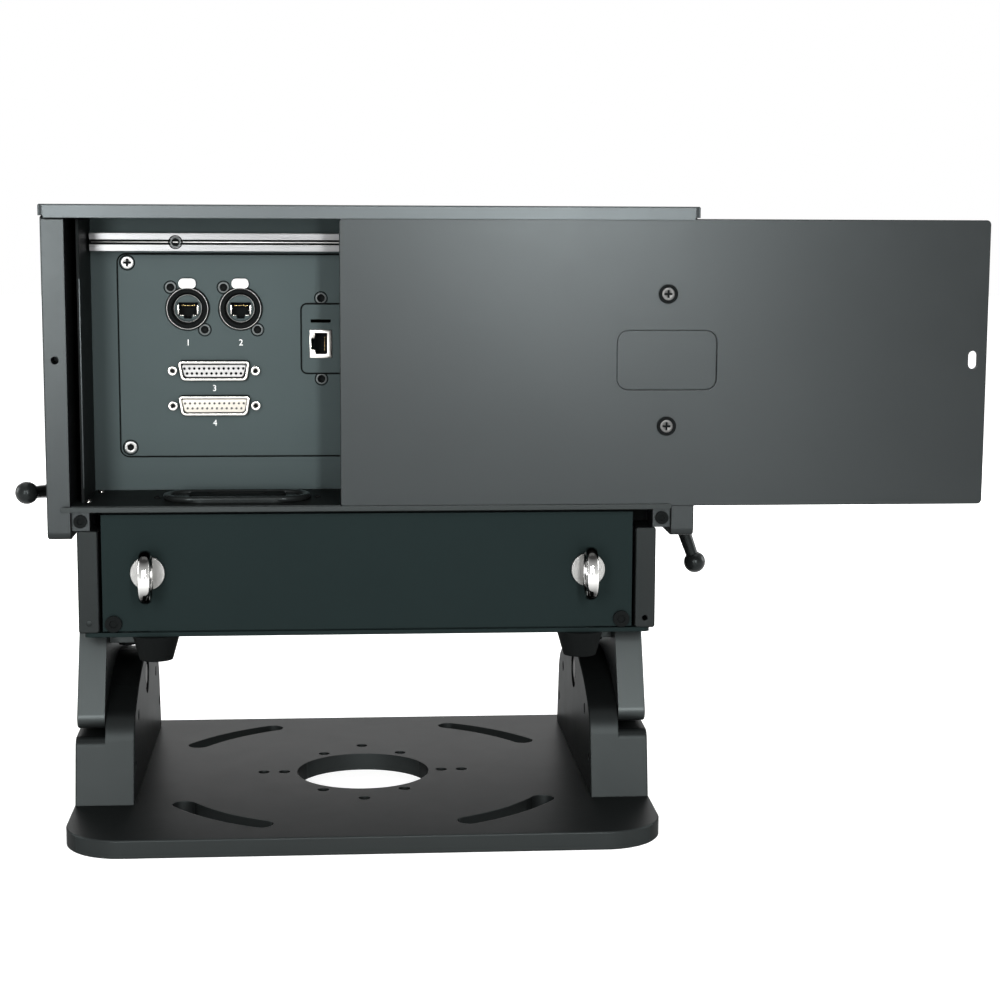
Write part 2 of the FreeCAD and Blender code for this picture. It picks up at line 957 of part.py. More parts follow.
panel_half_w = lower_half_w - side_t - panel_side_gap
panel_screw_x = panel_half_w - panel_screw_in
panel_screw_z = cover_top + panel_screw_up
rear_panel_face = lower_rear + panel_back
front_panel_face = lower_front - panel_back


def make_lower_panel(face_y, inward, foot_y):
    """Sheet panel with a folded bottom flange that stands on the bottom cover."""
    y0, y1 = sorted((face_y, face_y + inward * panel_t))
    fold0, fold1 = sorted((face_y + inward * panel_foot_gap, face_y + inward * fold_d))
    sheet = box(
        lower_x - panel_half_w, lower_x + panel_half_w, y0, y1, cover_top + panel_foot_gap, panel_top_z
    )
    fold_half = panel_half_w - fold_in
    fold = box(lower_x - fold_half, lower_x + fold_half, fold0, fold1, cover_top, cover_top + fold_t)
    holes = []
    for side in SIDES:
        holes.append(y_hole(lower_x + side * panel_screw_x, panel_screw_z, panel_screw_r + screw_gap, y0, y1))
        foot_hole_r = foot_screw_r + foot_screw_room
        holes.append(z_hole(lower_x + side * foot_x, foot_y, foot_hole_r, cover_top, cover_top + fold_t))
        housing_screws.append(
            screw(
                lower_x + side * panel_screw_x, face_y, panel_screw_z, panel_screw_r, panel_screw_len,
                panel_screw_head_r, panel_screw_head_t, Y_AXIS * inward
            )
        )
    return sheet.fuse(fold).removeSplitter().cut(holes)


def front_panel_openings():
    y0 = front_panel_face - panel_t
    openings = [y_hole(fan_x, fan_z, fan_r, y0, front_panel_face)]
    first_x = lower_x - lower_half_w + vent_in
    last_x = fan_x - fan_r - fan_wall - vent_fan_gap
    for i in range(int((last_x - first_x) / vent_pitch)):
        x0 = first_x + vent_pitch * i
        openings.append(
            rounded_box(
                x0, x0 + vent_w, y0 - past, front_panel_face + past,
                cover_top + vent_foot, panel_top_z - vent_head, vent_round, Y_AXIS
            )
        )
    return openings


rear_panel = make_lower_panel(rear_panel_face, 1, rear_y + foot_rear_in)
ring_holes = []
for side in SIDES:
    hole_x = lower_x + side * ring_x
    hole_r = ring_stud_r + screw_gap
    ring_holes.append(y_hole(hole_x, ring_z, hole_r, rear_panel_face, rear_panel_face + panel_t))
nodes["lower_rear_panel"] = rear_panel.cut(ring_holes)
front_panel = make_lower_panel(front_panel_face, -1, front_y - foot_front_in)
nodes["lower_front_panel"] = front_panel.cut(front_panel_openings())

# Cooling fan on the inside of the lower front panel
fan_front = front_panel_face - panel_t
fan_rear = fan_front - fan_depth


def make_fan_frame():
    half = fan_r + fan_wall
    frame = rounded_box(
        fan_x - half, fan_x + half, fan_rear, fan_front, fan_z - half, fan_z + half, fan_corner_r, Y_AXIS
    )
    frame = frame.cut(y_hole(fan_x, fan_z, fan_r, fan_rear, fan_front))
    added = [
        cylinder(fan_x, fan_rear, fan_z, fan_hub_r, fan_spoke_t, Y_AXIS),
        cylinder(fan_x, fan_rear, fan_z, fan_axle_r, fan_axle_len, Y_AXIS),
    ]
    for i in range(fan_spoke_count):
        spoke = box(
            fan_x - fan_spoke_w / 2, fan_x + fan_spoke_w / 2, fan_rear, fan_rear + fan_spoke_t,
            fan_z, fan_z + fan_r + fan_wall / 2
        )
        spoke.rotate(vec(fan_x, 0, fan_z), Y_AXIS, 360 / fan_spoke_count * (i + 0.25))
        added.append(spoke)
    return fuse(frame, added)


def make_fan_rotor():
    y0 = fan_rear + fan_spoke_t + fan_hub_gap
    y1 = fan_front - fan_front_gap
    hub = cylinder(fan_x, y0, fan_z, fan_hub_r, y1 - y0, Y_AXIS)
    blades = []
    for i in range(blade_count):
        blade = box(
            fan_x - blade_t / 2, fan_x + blade_t / 2, y0 + past, y1 - past,
            fan_z + fan_hub_r - past, fan_z + fan_r - fan_tip_gap
        )
        blade.rotate(vec(fan_x, (y0 + y1) / 2, fan_z), Z_AXIS, blade_twist_deg)
        blade.rotate(vec(fan_x, 0, fan_z), Y_AXIS, 360 / blade_count * i)
        blades.append(blade)
    bore = y_hole(fan_x, fan_z, fan_axle_r + running, y0, fan_rear + fan_axle_len - past / 2)
    return fuse(hub, blades).cut(bore)


nodes["fan_frame"] = make_fan_frame()
nodes["fan_rotor"] = make_fan_rotor()

# Feet and their screws
feet = []
for x, y in foot_places:
    foot = Part.makeCone(foot_r_bottom, foot_r_top, foot_h, vec(x, y, lower_z0 - foot_h), Z_AXIS)
    recess = z_hole(x, y, foot_recess_r, lower_z0 - foot_h, lower_z0 - foot_floor - past)
    hole = z_hole(x, y, foot_screw_r + screw_gap, lower_z0 - foot_h, lower_z0)
    feet.append(foot.cut([recess, hole]))
    housing_screws.append(
        screw(
            x, y, lower_z0 - foot_floor, foot_screw_r, foot_screw_len,
            foot_screw_head_r, foot_screw_head_t, Z_AXIS, "cross"
        )
    )
nodes["rubber_feet"] = compound(feet)

supply_x0 = lower_x - lower_half_w + supply_in
nodes["power_supply"] = rounded_box(
    supply_x0, supply_x0 + supply_w, supply_y0, front_y - supply_front_space,
    cover_top, cover_top + supply_h, supply_corner_r, Z_AXIS
)

# Safety rings: round base on the panel with two lugs, the ring swings on an upright pin
ring_axis_y = rear_panel_face - ring_base_t - ring_axis_out


def make_ring_base(x):
    base = cylinder(x, rear_panel_face - ring_base_t, ring_z, ring_base_r, ring_base_t, Y_AXIS)
    stud = cylinder(x, rear_panel_face - past, ring_z, ring_stud_r, ring_stud_len + past, Y_AXIS)
    lug_r = ring_pin_r + ring_lug_wall
    added = [stud]
    for z in (ring_z - ring_lug_in - ring_lug_t, ring_z + ring_lug_in):
        added.append(box(x - lug_r, x + lug_r, ring_axis_y, rear_panel_face - past, z, z + ring_lug_t))
        added.append(cylinder(x, ring_axis_y, z, lug_r, ring_lug_t, Z_AXIS))
    bore = z_hole(x, ring_axis_y, ring_pin_r + running, ring_z - ring_half_h, ring_z + ring_half_h)
    return fuse(base, added).cut(bore)


def make_ring(x):
    inner_r = ring_half_h - ring_wire
    bend_y = ring_axis_y - ring_reach + ring_half_h
    x0 = x - ring_band / 2
    x1 = x + ring_band / 2
    bend = cylinder(x0, bend_y, ring_z, ring_half_h, ring_band, X_AXIS)
    straight = box(x0, x1, bend_y, ring_axis_y, ring_z - ring_half_h, ring_z + ring_half_h)
    hollow = x_hole(bend_y, ring_z, inner_r, x0, x1)
    hollow_back = box(
        x0 - past, x1 + past, bend_y, ring_axis_y + ring_half_h, ring_z - inner_r, ring_z + inner_r
    )
    trim = box(
        x0 - past, x1 + past, ring_axis_y, ring_axis_y + 2 * ring_half_h,
        ring_z - ring_half_h - past, ring_z + ring_half_h + past
    )
    band = bend.fuse(straight).removeSplitter().cut([hollow, hollow_back, trim])
    added = [
        cylinder(x, ring_axis_y, ring_z - ring_half_h, ring_band / 2, ring_wire, Z_AXIS),
        cylinder(x, ring_axis_y, ring_z + inner_r, ring_band / 2, ring_wire, Z_AXIS),
        z_hole(x, ring_axis_y, ring_pin_r, ring_z - inner_r, ring_z + inner_r),
    ]
    return fuse(band, added)


nodes["ring_bases"] = compound([make_ring_base(lower_x + side * ring_x) for side in SIDES])
nodes["right_ring"] = make_ring(lower_x + ring_x)
nodes["left_ring"] = make_ring(lower_x - ring_x)

# Corner blocks tie the lower side plates to the walls
blocks = []
for side in SIDES:
    for start_y, inward in ((lower_rear, 1), (lower_front, -1)):
        x0, x1 = sorted((head_x + side * wall_in, head_x + side * (wall_in - block_w)))
        y0, y1 = sorted((start_y, start_y + inward * block_d))
        mid_x = (x0 + x1) / 2
        screw_z = side_top_z + block_screw_up
        hole0, hole1 = sorted((start_y, start_y + inward * block_screw_len))
        block = box(x0, x1, y0, y1, side_top_z, shelf_z0)
        blocks.append(block.cut(y_hole(mid_x, screw_z, block_screw_r + screw_gap, hole0, hole1)))
        housing_screws.append(
            screw(
                mid_x, start_y, screw_z, block_screw_r, block_screw_len,
                block_screw_head_r, block_screw_head_t, Y_AXIS * inward
            )
        )
nodes["corner_blocks"] = compound(blocks)

# Shelf with the door groove along its rear edge; the rear lip runs on over the left wall
throat_w = grommet_w - 2 * grommet_flange_x
throat_d = grommet_d - 2 * grommet_flange_y
grommet_top = shelf_top + grommet_t
grommet_screws_x = (grommet_x - grommet_screw_x, grommet_x + grommet_screw_x)


def make_shelf():
    left = head_x - wall_in - shelf_overhang
    right = head_x + wall_in - shelf_end_gap
    lip_end = wall_rear - gap
    lip = rounded_box(left, right, rear_y, lip_end, shelf_z0, shelf_top, shelf_round, Y_AXIS)
    body = box(head_x - wall_in, right, lip_end - weld, bay_back + back_panel_t, shelf_z0, shelf_top)
    cuts = [
        box(
            left - past, right + past, rear_y + lid_lip_t, wall_rear,
            shelf_top - groove_depth, shelf_top + past
        ),
        oval(grommet_x, grommet_y, throat_w + 2 * gap, throat_d + 2 * gap, shelf_z0 - past, shelf_top + past),
    ]
    for x in grommet_screws_x:
        cuts.append(z_hole(x, grommet_y, grommet_screw_r + screw_gap, shelf_z0, shelf_top))
    return lip.fuse(body).removeSplitter().cut(cuts)


def make_grommet():
    under = shelf_z0 - grommet_under
    flange = oval(grommet_x, grommet_y, grommet_w, grommet_d, shelf_top, grommet_top)
    throat = oval(grommet_x, grommet_y, throat_w, throat_d, under, shelf_top + weld)
    cuts = [oval(grommet_x, grommet_y, seal_w + 2 * gap, seal_d + 2 * gap, under - past, grommet_top + past)]
    for x in grommet_screws_x:
        cuts.append(z_hole(x, grommet_y, grommet_screw_r + screw_gap, shelf_top, grommet_top))
    return flange.fuse(throat).removeSplitter().cut(cuts)


def make_grommet_seal():
    under = shelf_z0 - grommet_under
    rim_top = grommet_top + seal_rim_t
    rim = oval(grommet_x, grommet_y, seal_w + 2 * seal_rim, seal_d + 2 * seal_rim, grommet_top, rim_top)
    body = oval(grommet_x, grommet_y, seal_w, seal_d, under, grommet_top + weld)
    slit = oval(grommet_x, grommet_y, slit_w, slit_d, under - past, rim_top + past)
    return rim.fuse(body).removeSplitter().cut(slit)


def make_shelf_studs():
    studs = []
    right = head_x + wall_in
    for inward, r in stud_domes:
        x = right - inward
        ball = Part.makeSphere(r, vec(x, stud_y, shelf_z0))
        slab = box(x - r, x + r, stud_y - r, stud_y + r, shelf_z0 - stud_drop, shelf_z0)
        studs.append(ball.common(slab))
    for inward, w in stud_blocks:
        x0 = right - inward
        studs.append(
            box(
                x0, x0 + w, stud_y - stud_block_d / 2, stud_y + stud_block_d / 2,
                shelf_z0 - stud_drop, shelf_z0
            )
        )
    return compound(studs)


nodes["shelf"] = make_shelf()
nodes["cable_grommet"] = make_grommet()
nodes["grommet_seal"] = make_grommet_seal()
nodes["shelf_studs"] = make_shelf_studs()
for x in grommet_screws_x:
    bay_screws.append(
        screw(
            x, grommet_y, grommet_top, grommet_screw_r, grommet_screw_len,
            grommet_screw_head_r, grommet_screw_head_t, -Z_AXIS, "cross"
        )
    )


# Side walls, each with a pocket for its clamp lever that is open below
def make_wall():
    wall_front = front_y - wall_front_in
    outer = head_x + wall_out
    wall = box(head_x + wall_in, outer, wall_rear, wall_front, wall_z0, lid_z0)
    wall = round_edges_near(wall, wall_round, ((wall_rear, lid_z0), (wall_front, lid_z0)))
    wall = round_edges_near(wall, wall_foot_round, ((wall_rear, wall_z0), (wall_front, wall_z0)))
    wall = soften_face(wall, X_AXIS, outer, soft_edge)
    hole_end = wall_rear + lock_hole_depth - past
    pocket_x = outer - lever_pocket_d
    return wall.cut([
        y_hole(head_x + lock_x, lock_z, lock_hole_r, wall_rear, hole_end),
        x_hole(lever_y, lever_z, lever_stud_r + screw_gap, head_x + wall_in, outer),
        cylinder(pocket_x, lever_y, lever_z, lever_pocket_r, lever_pocket_d + past, X_AXIS),
        box(
            pocket_x, outer + past, lever_y - lever_pocket_r, lever_y + lever_pocket_r,
            wall_z0 - past, lever_z
        ),
    ])


wall = make_wall()
nodes["right_wall"] = wall
nodes["left_wall"] = mirrored(wall, head_x)


# Lid with a rear lip that keeps the door's top edge in
def make_lid():
    lid_top = lid_z0 + lid_t
    lid = rounded_box(
        head_x - lid_half_w, head_x + lid_half_w, rear_y, front_y, lid_z0, lid_top, lid_corner_r, Z_AXIS
    )
    lid = soften_face(lid, Z_AXIS, lid_top, soft_edge)
    lip = box(
        head_x - lid_half_w + lid_lip_in, head_x + lid_half_w - lid_lip_in, rear_y, rear_y + lid_lip_t,
        lid_z0 - lid_lip_h, lid_z0 + weld
    )
    seat = lid_top - lid_screw_head_t - lid_screw_sunk
    cuts = []
    for side in SIDES:
        for y in (rear_y + lid_screw_in, (rear_y + front_y) / 2, front_y - lid_screw_in):
            x = head_x + side * (wall_in + wall_out) / 2
            cuts.append(z_hole(x, y, lid_screw_r + screw_gap, lid_z0, lid_top))
            cuts.append(z_hole(x, y, lid_screw_head_r + screw_gap, seat + past, lid_top))
            housing_screws.append(
                screw(
                    x, y, seat, lid_screw_r, seat - lid_z0, lid_screw_head_r, lid_screw_head_t, -Z_AXIS
                )
            )
    return lid.fuse(lip).removeSplitter().cut(cuts)


nodes["lid"] = make_lid()
nodes["housing_screws"] = compound(housing_screws)

# Rear bay: liners, back panel, rail
liner_x = wall_in - liner_in


def make_liner():
    top = lid_z0 - liner_top_gap
    x0 = head_x + liner_x
    sheet = box(x0, x0 + liner_t, rear_y + liner_set_back, bay_back, shelf_top, top)
    strip = box(x0, head_x + wall_in, bay_back - liner_foot_d, bay_back, shelf_top, top)
    return sheet.fuse(strip).removeSplitter()


def make_rail():
    half = liner_x - rail_end_gap
    face = bay_back - rail_d
    mid_z = (rail_z0 + rail_z1) / 2
    rail = box(head_x - half, head_x + half, face, bay_back, rail_z0, rail_z1)
    seat = face + rail_groove_depth
    cuts = [
        box(
            head_x - half - past, head_x + half + past, face - past, seat,
            mid_z - rail_groove_w / 2, mid_z + rail_groove_w / 2
        )
    ]
    for x in (head_x - half + rail_screw_in, head_x, head_x + half - rail_screw_in):
        cuts.append(y_hole(x, mid_z, rail_screw_r + screw_gap, face, bay_back))
        cuts.append(y_hole(x, mid_z, rail_screw_head_r + screw_gap, face, seat - past))
        bay_screws.append(
            screw(
                x, seat, mid_z, rail_screw_r, rail_screw_len,
                rail_screw_head_r, rail_screw_head_t, Y_AXIS
            )
        )
    return rail.cut(cuts)


liner = make_liner()
nodes["bay_liners"] = compound([liner, mirrored(liner, head_x)])
nodes["silver_rail"] = make_rail()

# Holes that the connector plate and the back panel behind it share
bay_back_end = bay_back + back_panel_t
bay_holes = []


def bay_screw(x, z, seat, r, length, head_r, head_t, kind):
    bay_screws.append(screw(x, seat, z, r, length, head_r, head_t, Y_AXIS, kind))
    bay_holes.append(y_hole(x, z, r + screw_gap, conn_face, bay_back_end))


for side in SIDES:
    for z in (conn_z0 + conn_screw_up, conn_z1 - conn_screw_down):
        bay_screw(
            head_x + side * (conn_half_w - conn_screw_in), z, conn_face, conn_screw_r, conn_screw_len,
            conn_screw_head_r, conn_screw_head_t, "cross"
        )


# Round locking network sockets, fixed from behind the back panel, with their push tabs
tab_end = conn_face + tab_in + tab_travel


def tab_shape(x, grow, y0, y1):
    z = socket_z + tab_up
    r = tab_r + grow
    ends = [cylinder(x + side * tab_half, y0, z, r, y1 - y0, Y_AXIS) for side in SIDES]
    middle = box(x - tab_half, x + tab_half, y0, y1, z - r, z + r)
    return fuse(middle, ends)


def make_socket(x):
    rim_face = conn_face - socket_rim_out
    flange_back = bay_back_end + socket_flange_t
    flange = rounded_box(
        x - socket_flange_w / 2, x + socket_flange_w / 2, bay_back_end, flange_back,
        socket_z - socket_flange_h / 2, socket_z + socket_flange_h / 2 + socket_flange_up,
        socket_flange_r, Y_AXIS
    )
    rim = cylinder(x, rim_face, socket_z, socket_body_r, flange_back - rim_face, Y_AXIS)
    barrel_r = socket_body_r - socket_barrel_in
    barrel = cylinder(x, bay_back_end, socket_z, barrel_r, socket_depth, Y_AXIS)
    plug_end = conn_face + plug_depth
    cuts = [
        y_hole(x, socket_z, socket_body_r - socket_rim_wall, rim_face, rim_face + socket_recess - past),
        box(
            x - plug_half_w, x + plug_half_w, rim_face - past, plug_end,
            socket_z - plug_down, socket_z + plug_up
        ),
        box(
            x - plug_key_half_w, x + plug_key_half_w, rim_face - past, plug_end,
            socket_z - plug_key_down, socket_z
        ),
        tab_shape(x, gap, rim_face - past, tab_end),
    ]
    for side in SIDES:
        screw_x = x + side * socket_screw_dx
        screw_z = socket_z - side * socket_screw_dz
        cuts.append(y_hole(screw_x, screw_z, socket_screw_r + screw_gap, bay_back_end, flange_back))
        bay_screw(
            screw_x, screw_z, conn_face, socket_screw_r, socket_screw_len,
            socket_screw_head_r, socket_screw_head_t, "hex"
        )
    bay_holes.append(y_hole(x, socket_z, socket_body_r + gap, conn_face, bay_back_end))
    bay_holes.append(tab_shape(x, gap, conn_face - past, tab_end))
    return fuse(flange, [rim, barrel]).cut(cuts)


sockets = []
for label, x in zip(("left", "right"), socket_x):
    sockets.append(make_socket(x))
    nodes[label + "_push_tab"] = tab_shape(x, 0, conn_face - tab_out, conn_face + tab_in)
nodes["network_sockets"] = compound(sockets)


# Control ports: a D-shaped metal shell round an insert, on a flat flange behind the back panel
def d_shape(z, shrink, y0, y1):
    half_w = shell_half_w - shrink
    half_h = shell_half_h - shrink
    corners = (
        (-half_w, half_h), (half_w, half_h), (half_w - shell_taper, -half_h), (shell_taper - half_w, -half_h),
        (-half_w, half_h),
    )
    wire = Part.makePolygon([vec(port_x + dx, y0, z + dz) for dx, dz in corners])
    solid = Part.Face(wire).extrude(vec(0, y1 - y0, 0))
    return solid.makeFillet(shell_round - shrink / 2, parallel_edges(solid, Y_AXIS))


def jack_post(x, z):
    post = cylinder(x, conn_face - post_len, z, post_r, post_len, Y_AXIS)
    shank = cylinder(x, conn_face - weld, z, post_shank_r, post_shank_len, Y_AXIS)
    bore = cylinder(x, conn_face - post_len - past, z, post_bore_r, post_bore_depth + past, Y_AXIS)
    return post.fuse(shank).removeSplitter().cut(bore)


def make_port(z, female):
    flange_back = bay_back_end + port_flange_t
    tip = conn_face - shell_out
    half_w = jack_spacing / 2 + port_flange_end
    flange = rounded_box(
        port_x - half_w, port_x + half_w, bay_back_end, flange_back,
        z - port_flange_h / 2, z + port_flange_h / 2, port_flange_r, Y_AXIS
    )
    shell = d_shape(z, 0, tip, flange_back).cut(d_shape(z, shell_wall, tip - past, bay_back_end))
    back = box(
        port_x - port_back_half_w, port_x + port_back_half_w, bay_back_end, flange_back + port_back_d,
        z - port_back_half_h, z + port_back_half_h
    )
    added = [shell, back]
    holes = []
    if female:
        added.append(d_shape(z, shell_wall + insert_gap, tip + insert_in, flange_back))
    rows = ((upper_contact_count, contact_row_half), (lower_contact_count, -contact_row_half))
    for count, dz in rows:
        for i in range(count):
            x = port_x + contact_pitch * (i - (count - 1) / 2)
            if female:
                holes.append(cylinder(x, tip, z + dz, contact_hole_r, contact_hole_depth, Y_AXIS))
            else:
                pin_len = flange_back - tip - contact_pin_in
                added.append(cylinder(x, tip + contact_pin_in, z + dz, contact_pin_r, pin_len, Y_AXIS))
    for side in SIDES:
        x = port_x + side * jack_spacing / 2
        holes.append(y_hole(x, z, post_shank_r + screw_gap, bay_back_end, flange_back))
        bay_holes.append(y_hole(x, z, post_shank_r + screw_gap, conn_face, bay_back_end))
        bay_screws.append(jack_post(x, z))
    bay_holes.append(d_shape(z, -gap, conn_face - past, bay_back_end + past))
    return fuse(flange, added).cut(holes)


nodes["control_out_port"] = make_port(port_out_z, True)
nodes["control_in_port"] = make_port(port_in_z, False)

# Inset plate with a side jack, a card slot and the mains inlet
card_slot_z = jack_z1 + card_slot_up


def make_inset_plate():
    plate = rounded_box(
        inset_x0, inset_x1, inset_face, conn_face,
        inset_z0, inset_z1, inset_corner_r, Y_AXIS
    )
    cuts = [
        box(
            jack_x0 - gap, jack_x1 + gap, inset_face - past, conn_face + past, jack_z0 - gap, jack_z1 + gap
        ),
        box(
            jack_x0, jack_x1, inset_face - past, conn_face + past,
            card_slot_z - card_slot_half, card_slot_z + card_slot_half
        ),
        y_hole(inlet_x, inlet_z, inlet_r, inset_face, conn_face),
    ]
    for x in (inset_x0 + inset_screw_side, inset_x1 - inset_screw_side):
        for z in (inset_z0 - inset_screw_out, inset_z1 + inset_screw_out):
            bay_screw(
                x, z, conn_face, socket_screw_r, socket_screw_len,
                socket_screw_head_r, socket_screw_head_t, "hex"
            )
    bay_holes.append(
        box(
            jack_x0 - jack_room, jack_x1 + jack_room, conn_face - past, bay_back_end + past,
            jack_z0 - jack_room, card_slot_z + card_slot_half + jack_room
        )
    )
    bay_holes.append(y_hole(inlet_x, inlet_z, inlet_r, conn_face, bay_back_end))
    return plate.cut(cuts)


def make_side_jack():
    back = conn_face + jack_d
    rim_face = inset_face - jack_rim
    body = box(jack_x0, jack_x1, inset_face - weld, back, jack_z0, jack_z1)
    rim = box(
        jack_x0 - jack_rim, jack_x1 + jack_rim, rim_face, inset_face, jack_z0 - jack_rim, jack_z1 + jack_rim
    )
    mouth_end = conn_face + jack_mouth_d
    mouth = box(
        jack_x0 + jack_wall, jack_x1 - jack_wall, rim_face - past, mouth_end,
        jack_z0 + jack_floor, jack_z1 - jack_floor
    )
    key = box(
        jack_x0 + jack_key_wall, jack_x0 + jack_key_in, rim_face - past, mouth_end,
        jack_z0 + jack_key_up, jack_z1 - jack_key_up
    )
    return body.fuse(rim).removeSplitter().cut([mouth, key])


def make_power_inlet():
    rim_face = inset_face - inlet_rim_t
    rim = cylinder(inlet_x, rim_face, inlet_z, inlet_r + inlet_rim, inlet_rim_t, Y_AXIS)
    barrel = cylinder(inlet_x, inset_face - weld, inlet_z, inlet_r - gap, inlet_d, Y_AXIS)
    floor_y = inset_face + inlet_depth
    mouth = y_hole(inlet_x, inlet_z, inlet_r - gap - inlet_wall, rim_face, floor_y - past)
    pins = []
    for i in range(3):
        turn = math.radians(90 + 120 * i)
        x = inlet_x + inlet_pin_circle * math.cos(turn)
        z = inlet_z + inlet_pin_circle * math.sin(turn)
        pins.append(
            box(
                x - inlet_pin_half_w, x + inlet_pin_half_w, inset_face + inlet_pin_in, floor_y + past,
                z - inlet_pin_half_h, z + inlet_pin_half_h
            )
        )
    return fuse(rim.fuse(barrel).removeSplitter().cut(mouth), pins)


nodes["inset_plate"] = make_inset_plate()
nodes["side_jack"] = make_side_jack()
nodes["power_inlet"] = make_power_inlet()
nodes["bay_screws"] = compound(bay_screws)
connector_plate = rounded_box(
    head_x - conn_half_w, head_x + conn_half_w, conn_face, bay_back, conn_z0, conn_z1, conn_corner_r, Y_AXIS
)
nodes["connector_plate"] = connector_plate.cut(bay_holes)
back_panel = box(head_x - wall_in, head_x + wall_in, bay_back, bay_back_end, shelf_top, lid_z0)
nodes["bay_back_panel"] = back_panel.cut(bay_holes)


# Sliding door, drawn in its open place, with stop studs behind its two screws
def make_door():
    door = rounded_box(
        door_x - door_half_w, door_x + door_half_w, door_y, door_y + door_t,
        door_z0, door_z1, door_corner_r, Y_AXIS
    )
    door = soften_face(door, Y_AXIS, door_y, door_edge)
    slot_x = door_x + lock_x
    cuts = [
        rounded_box(
            door_x - pull_w / 2, door_x + pull_w / 2, door_y - past, door_y + pull_depth,
            pull_z - pull_h / 2, pull_z + pull_h / 2, pull_corner_r, Y_AXIS
        ),
        rounded_box(
            slot_x - lock_slot_w / 2, slot_x + lock_slot_w / 2, door_y - past, door_y + door_t + past,
            lock_z - lock_slot_h / 2, lock_z + lock_slot_h / 2, lock_slot_w / 2 - round_margin, Y_AXIS
        ),
    ]
    for z in door_screw_z:
        cuts.append(y_hole(door_x, z, door_screw_r + screw_gap, door_y, door_y + door_t))
    return door.cut(cuts)


def make_door_studs():
    studs = []
    for z in door_screw_z:
        front = screw(
            door_x, door_y, z, door_screw_r, door_t + weld,
            door_screw_head_r, door_screw_head_t, Y_AXIS, "cross"
        )
        stop = cylinder(door_x, door_y + door_t, z, stop_r, stop_len, Y_AXIS)
        studs.append(front.fuse(stop).removeSplitter())
    return compound(studs)


nodes["door"] = make_door()
nodes["door_studs"] = make_door_studs()
pad_half_w = pull_w / 2 - gap
pad_half_h = pull_h / 2 - gap
nodes["door_pull"] = rounded_box(
    door_x - pad_half_w, door_x + pad_half_w, door_y + pull_depth - pull_pad_t, door_y + pull_depth,
    pull_z - pad_half_h, pull_z + pad_half_h, pull_corner_r - gap, Y_AXIS
)

# Clamp levers: hub on a stud, stem leaning outward, ball at its end
lever_x0 = head_x + wall_out - lever_pocket_d + lever_hub_gap
lever_bore_end = lever_x0 + lever_hub_l - lever_cap


def make_lever():
    hub = cylinder(lever_x0, lever_y, lever_z, lever_hub_r, lever_hub_l, X_AXIS)
    lean = math.radians(lever_lean_deg)
    way = vec(math.sin(lean), 0, -math.cos(lean))
    root = vec(lever_x0 + lever_hub_l - lever_root_in, lever_y, lever_z)
    stem_len = lever_len - lever_ball_r + lever_ball_bite
    stem = Part.makeCone(lever_root_r, lever_tip_r, stem_len, root, way)
    bore = x_hole(lever_y, lever_z, lever_stud_r + running, lever_x0, lever_bore_end - past)
    pocket = Part.makeCone(lever_root_r + gap, lever_tip_r + gap, stem_len + gap, root, way)
    ball = Part.makeSphere(lever_ball_r, root + way * lever_len)
    return compound([fuse(hub, [stem]).cut(bore), ball.cut(pocket)])


def make_lever_stud():
    x = head_x + wall_in
    flange = cylinder(x - lever_flange_t, lever_y, lever_z, lever_flange_r, lever_flange_t, X_AXIS)
    shank_len = lever_bore_end - lever_stud_in - x + weld
    shank = cylinder(x - weld, lever_y, lever_z, lever_stud_r, shank_len, X_AXIS)
    return flange.fuse(shank).removeSplitter()


lever = make_lever()
nodes["right_clamp_lever"] = lever
left_lever = mirrored(lever, head_x)
left_lever.rotate(vec(0, lever_y, lever_z), X_AXIS, left_lever_turn)
nodes["left_clamp_lever"] = left_lever
lever_stud = make_lever_stud()
nodes["lever_studs"] = compound([lever_stud, mirrored(lever_stud, head_x)])


# Optics deck behind the bay, and the laser parts on it
def make_deck():
    deck = box(
        head_x - wall_in, head_x + wall_in, deck_y0, front_y - deck_front_in, shelf_z0, deck_top
    )
    reach = wall_in - lever_flange_t
    pockets = [
        x_hole(lever_y, lever_z, lever_flange_r + 2 * gap, head_x - wall_in, head_x - reach),
        x_hole(lever_y, lever_z, lever_flange_r + 2 * gap, head_x + reach, head_x + wall_in),
    ]
    return deck.cut(pockets)


def make_module(x):
    return rounded_box(
        x - module_half, x + module_half, module_y0, beam_y - module_half,
        deck_top, beam_z + module_half, module_corner_r, Y_AXIS
    )


def make_combining_mirror(x):
    holder = box(
        x - mirror_half, x + mirror_half, beam_y - mirror_half, beam_y + mirror_half,
        deck_top, beam_z - mirror_half
    )
    glass = box(
        x - mirror_half, x + mirror_half, beam_y - mirror_t / 2, beam_y + mirror_t / 2,
        beam_z - mirror_half - weld, beam_z + mirror_half
    )
    glass.rotate(vec(x, beam_y, 0), Z_AXIS, 45)
    return holder.fuse(glass).removeSplitter()


nodes["optics_base"] = make_deck()
module_x = [head_x - wall_in + module_in + module_pitch * i for i in range(module_count)]
nodes["laser_modules"] = compound([make_module(x) for x in module_x])
nodes["combining_mirrors"] = compound([make_combining_mirror(x) for x in module_x])


# Scanner: the first mirror turns about Y, the second about X
def make_scanner_block():
    top = scan_z + scan_top
    rear = box(
        scan_x - scan_left, scan_x + scan_right, beam_y - scan_rear, beam_y - scan_rear + scan_rear_t,
        deck_top, top
    )
    side = box(
        scan_x + scan_inner, scan_x + scan_right, beam_y - scan_half_d, beam_y + scan_half_d, deck_top, top
    )
    return rear.fuse(side).removeSplitter().cut([
        y_hole(scan_x, beam_z, motor_r + gap, beam_y - scan_rear, beam_y - scan_rear + scan_rear_t),
        x_hole(beam_y, scan_z, motor_r + gap, scan_x + scan_inner, scan_x + scan_right),
    ])


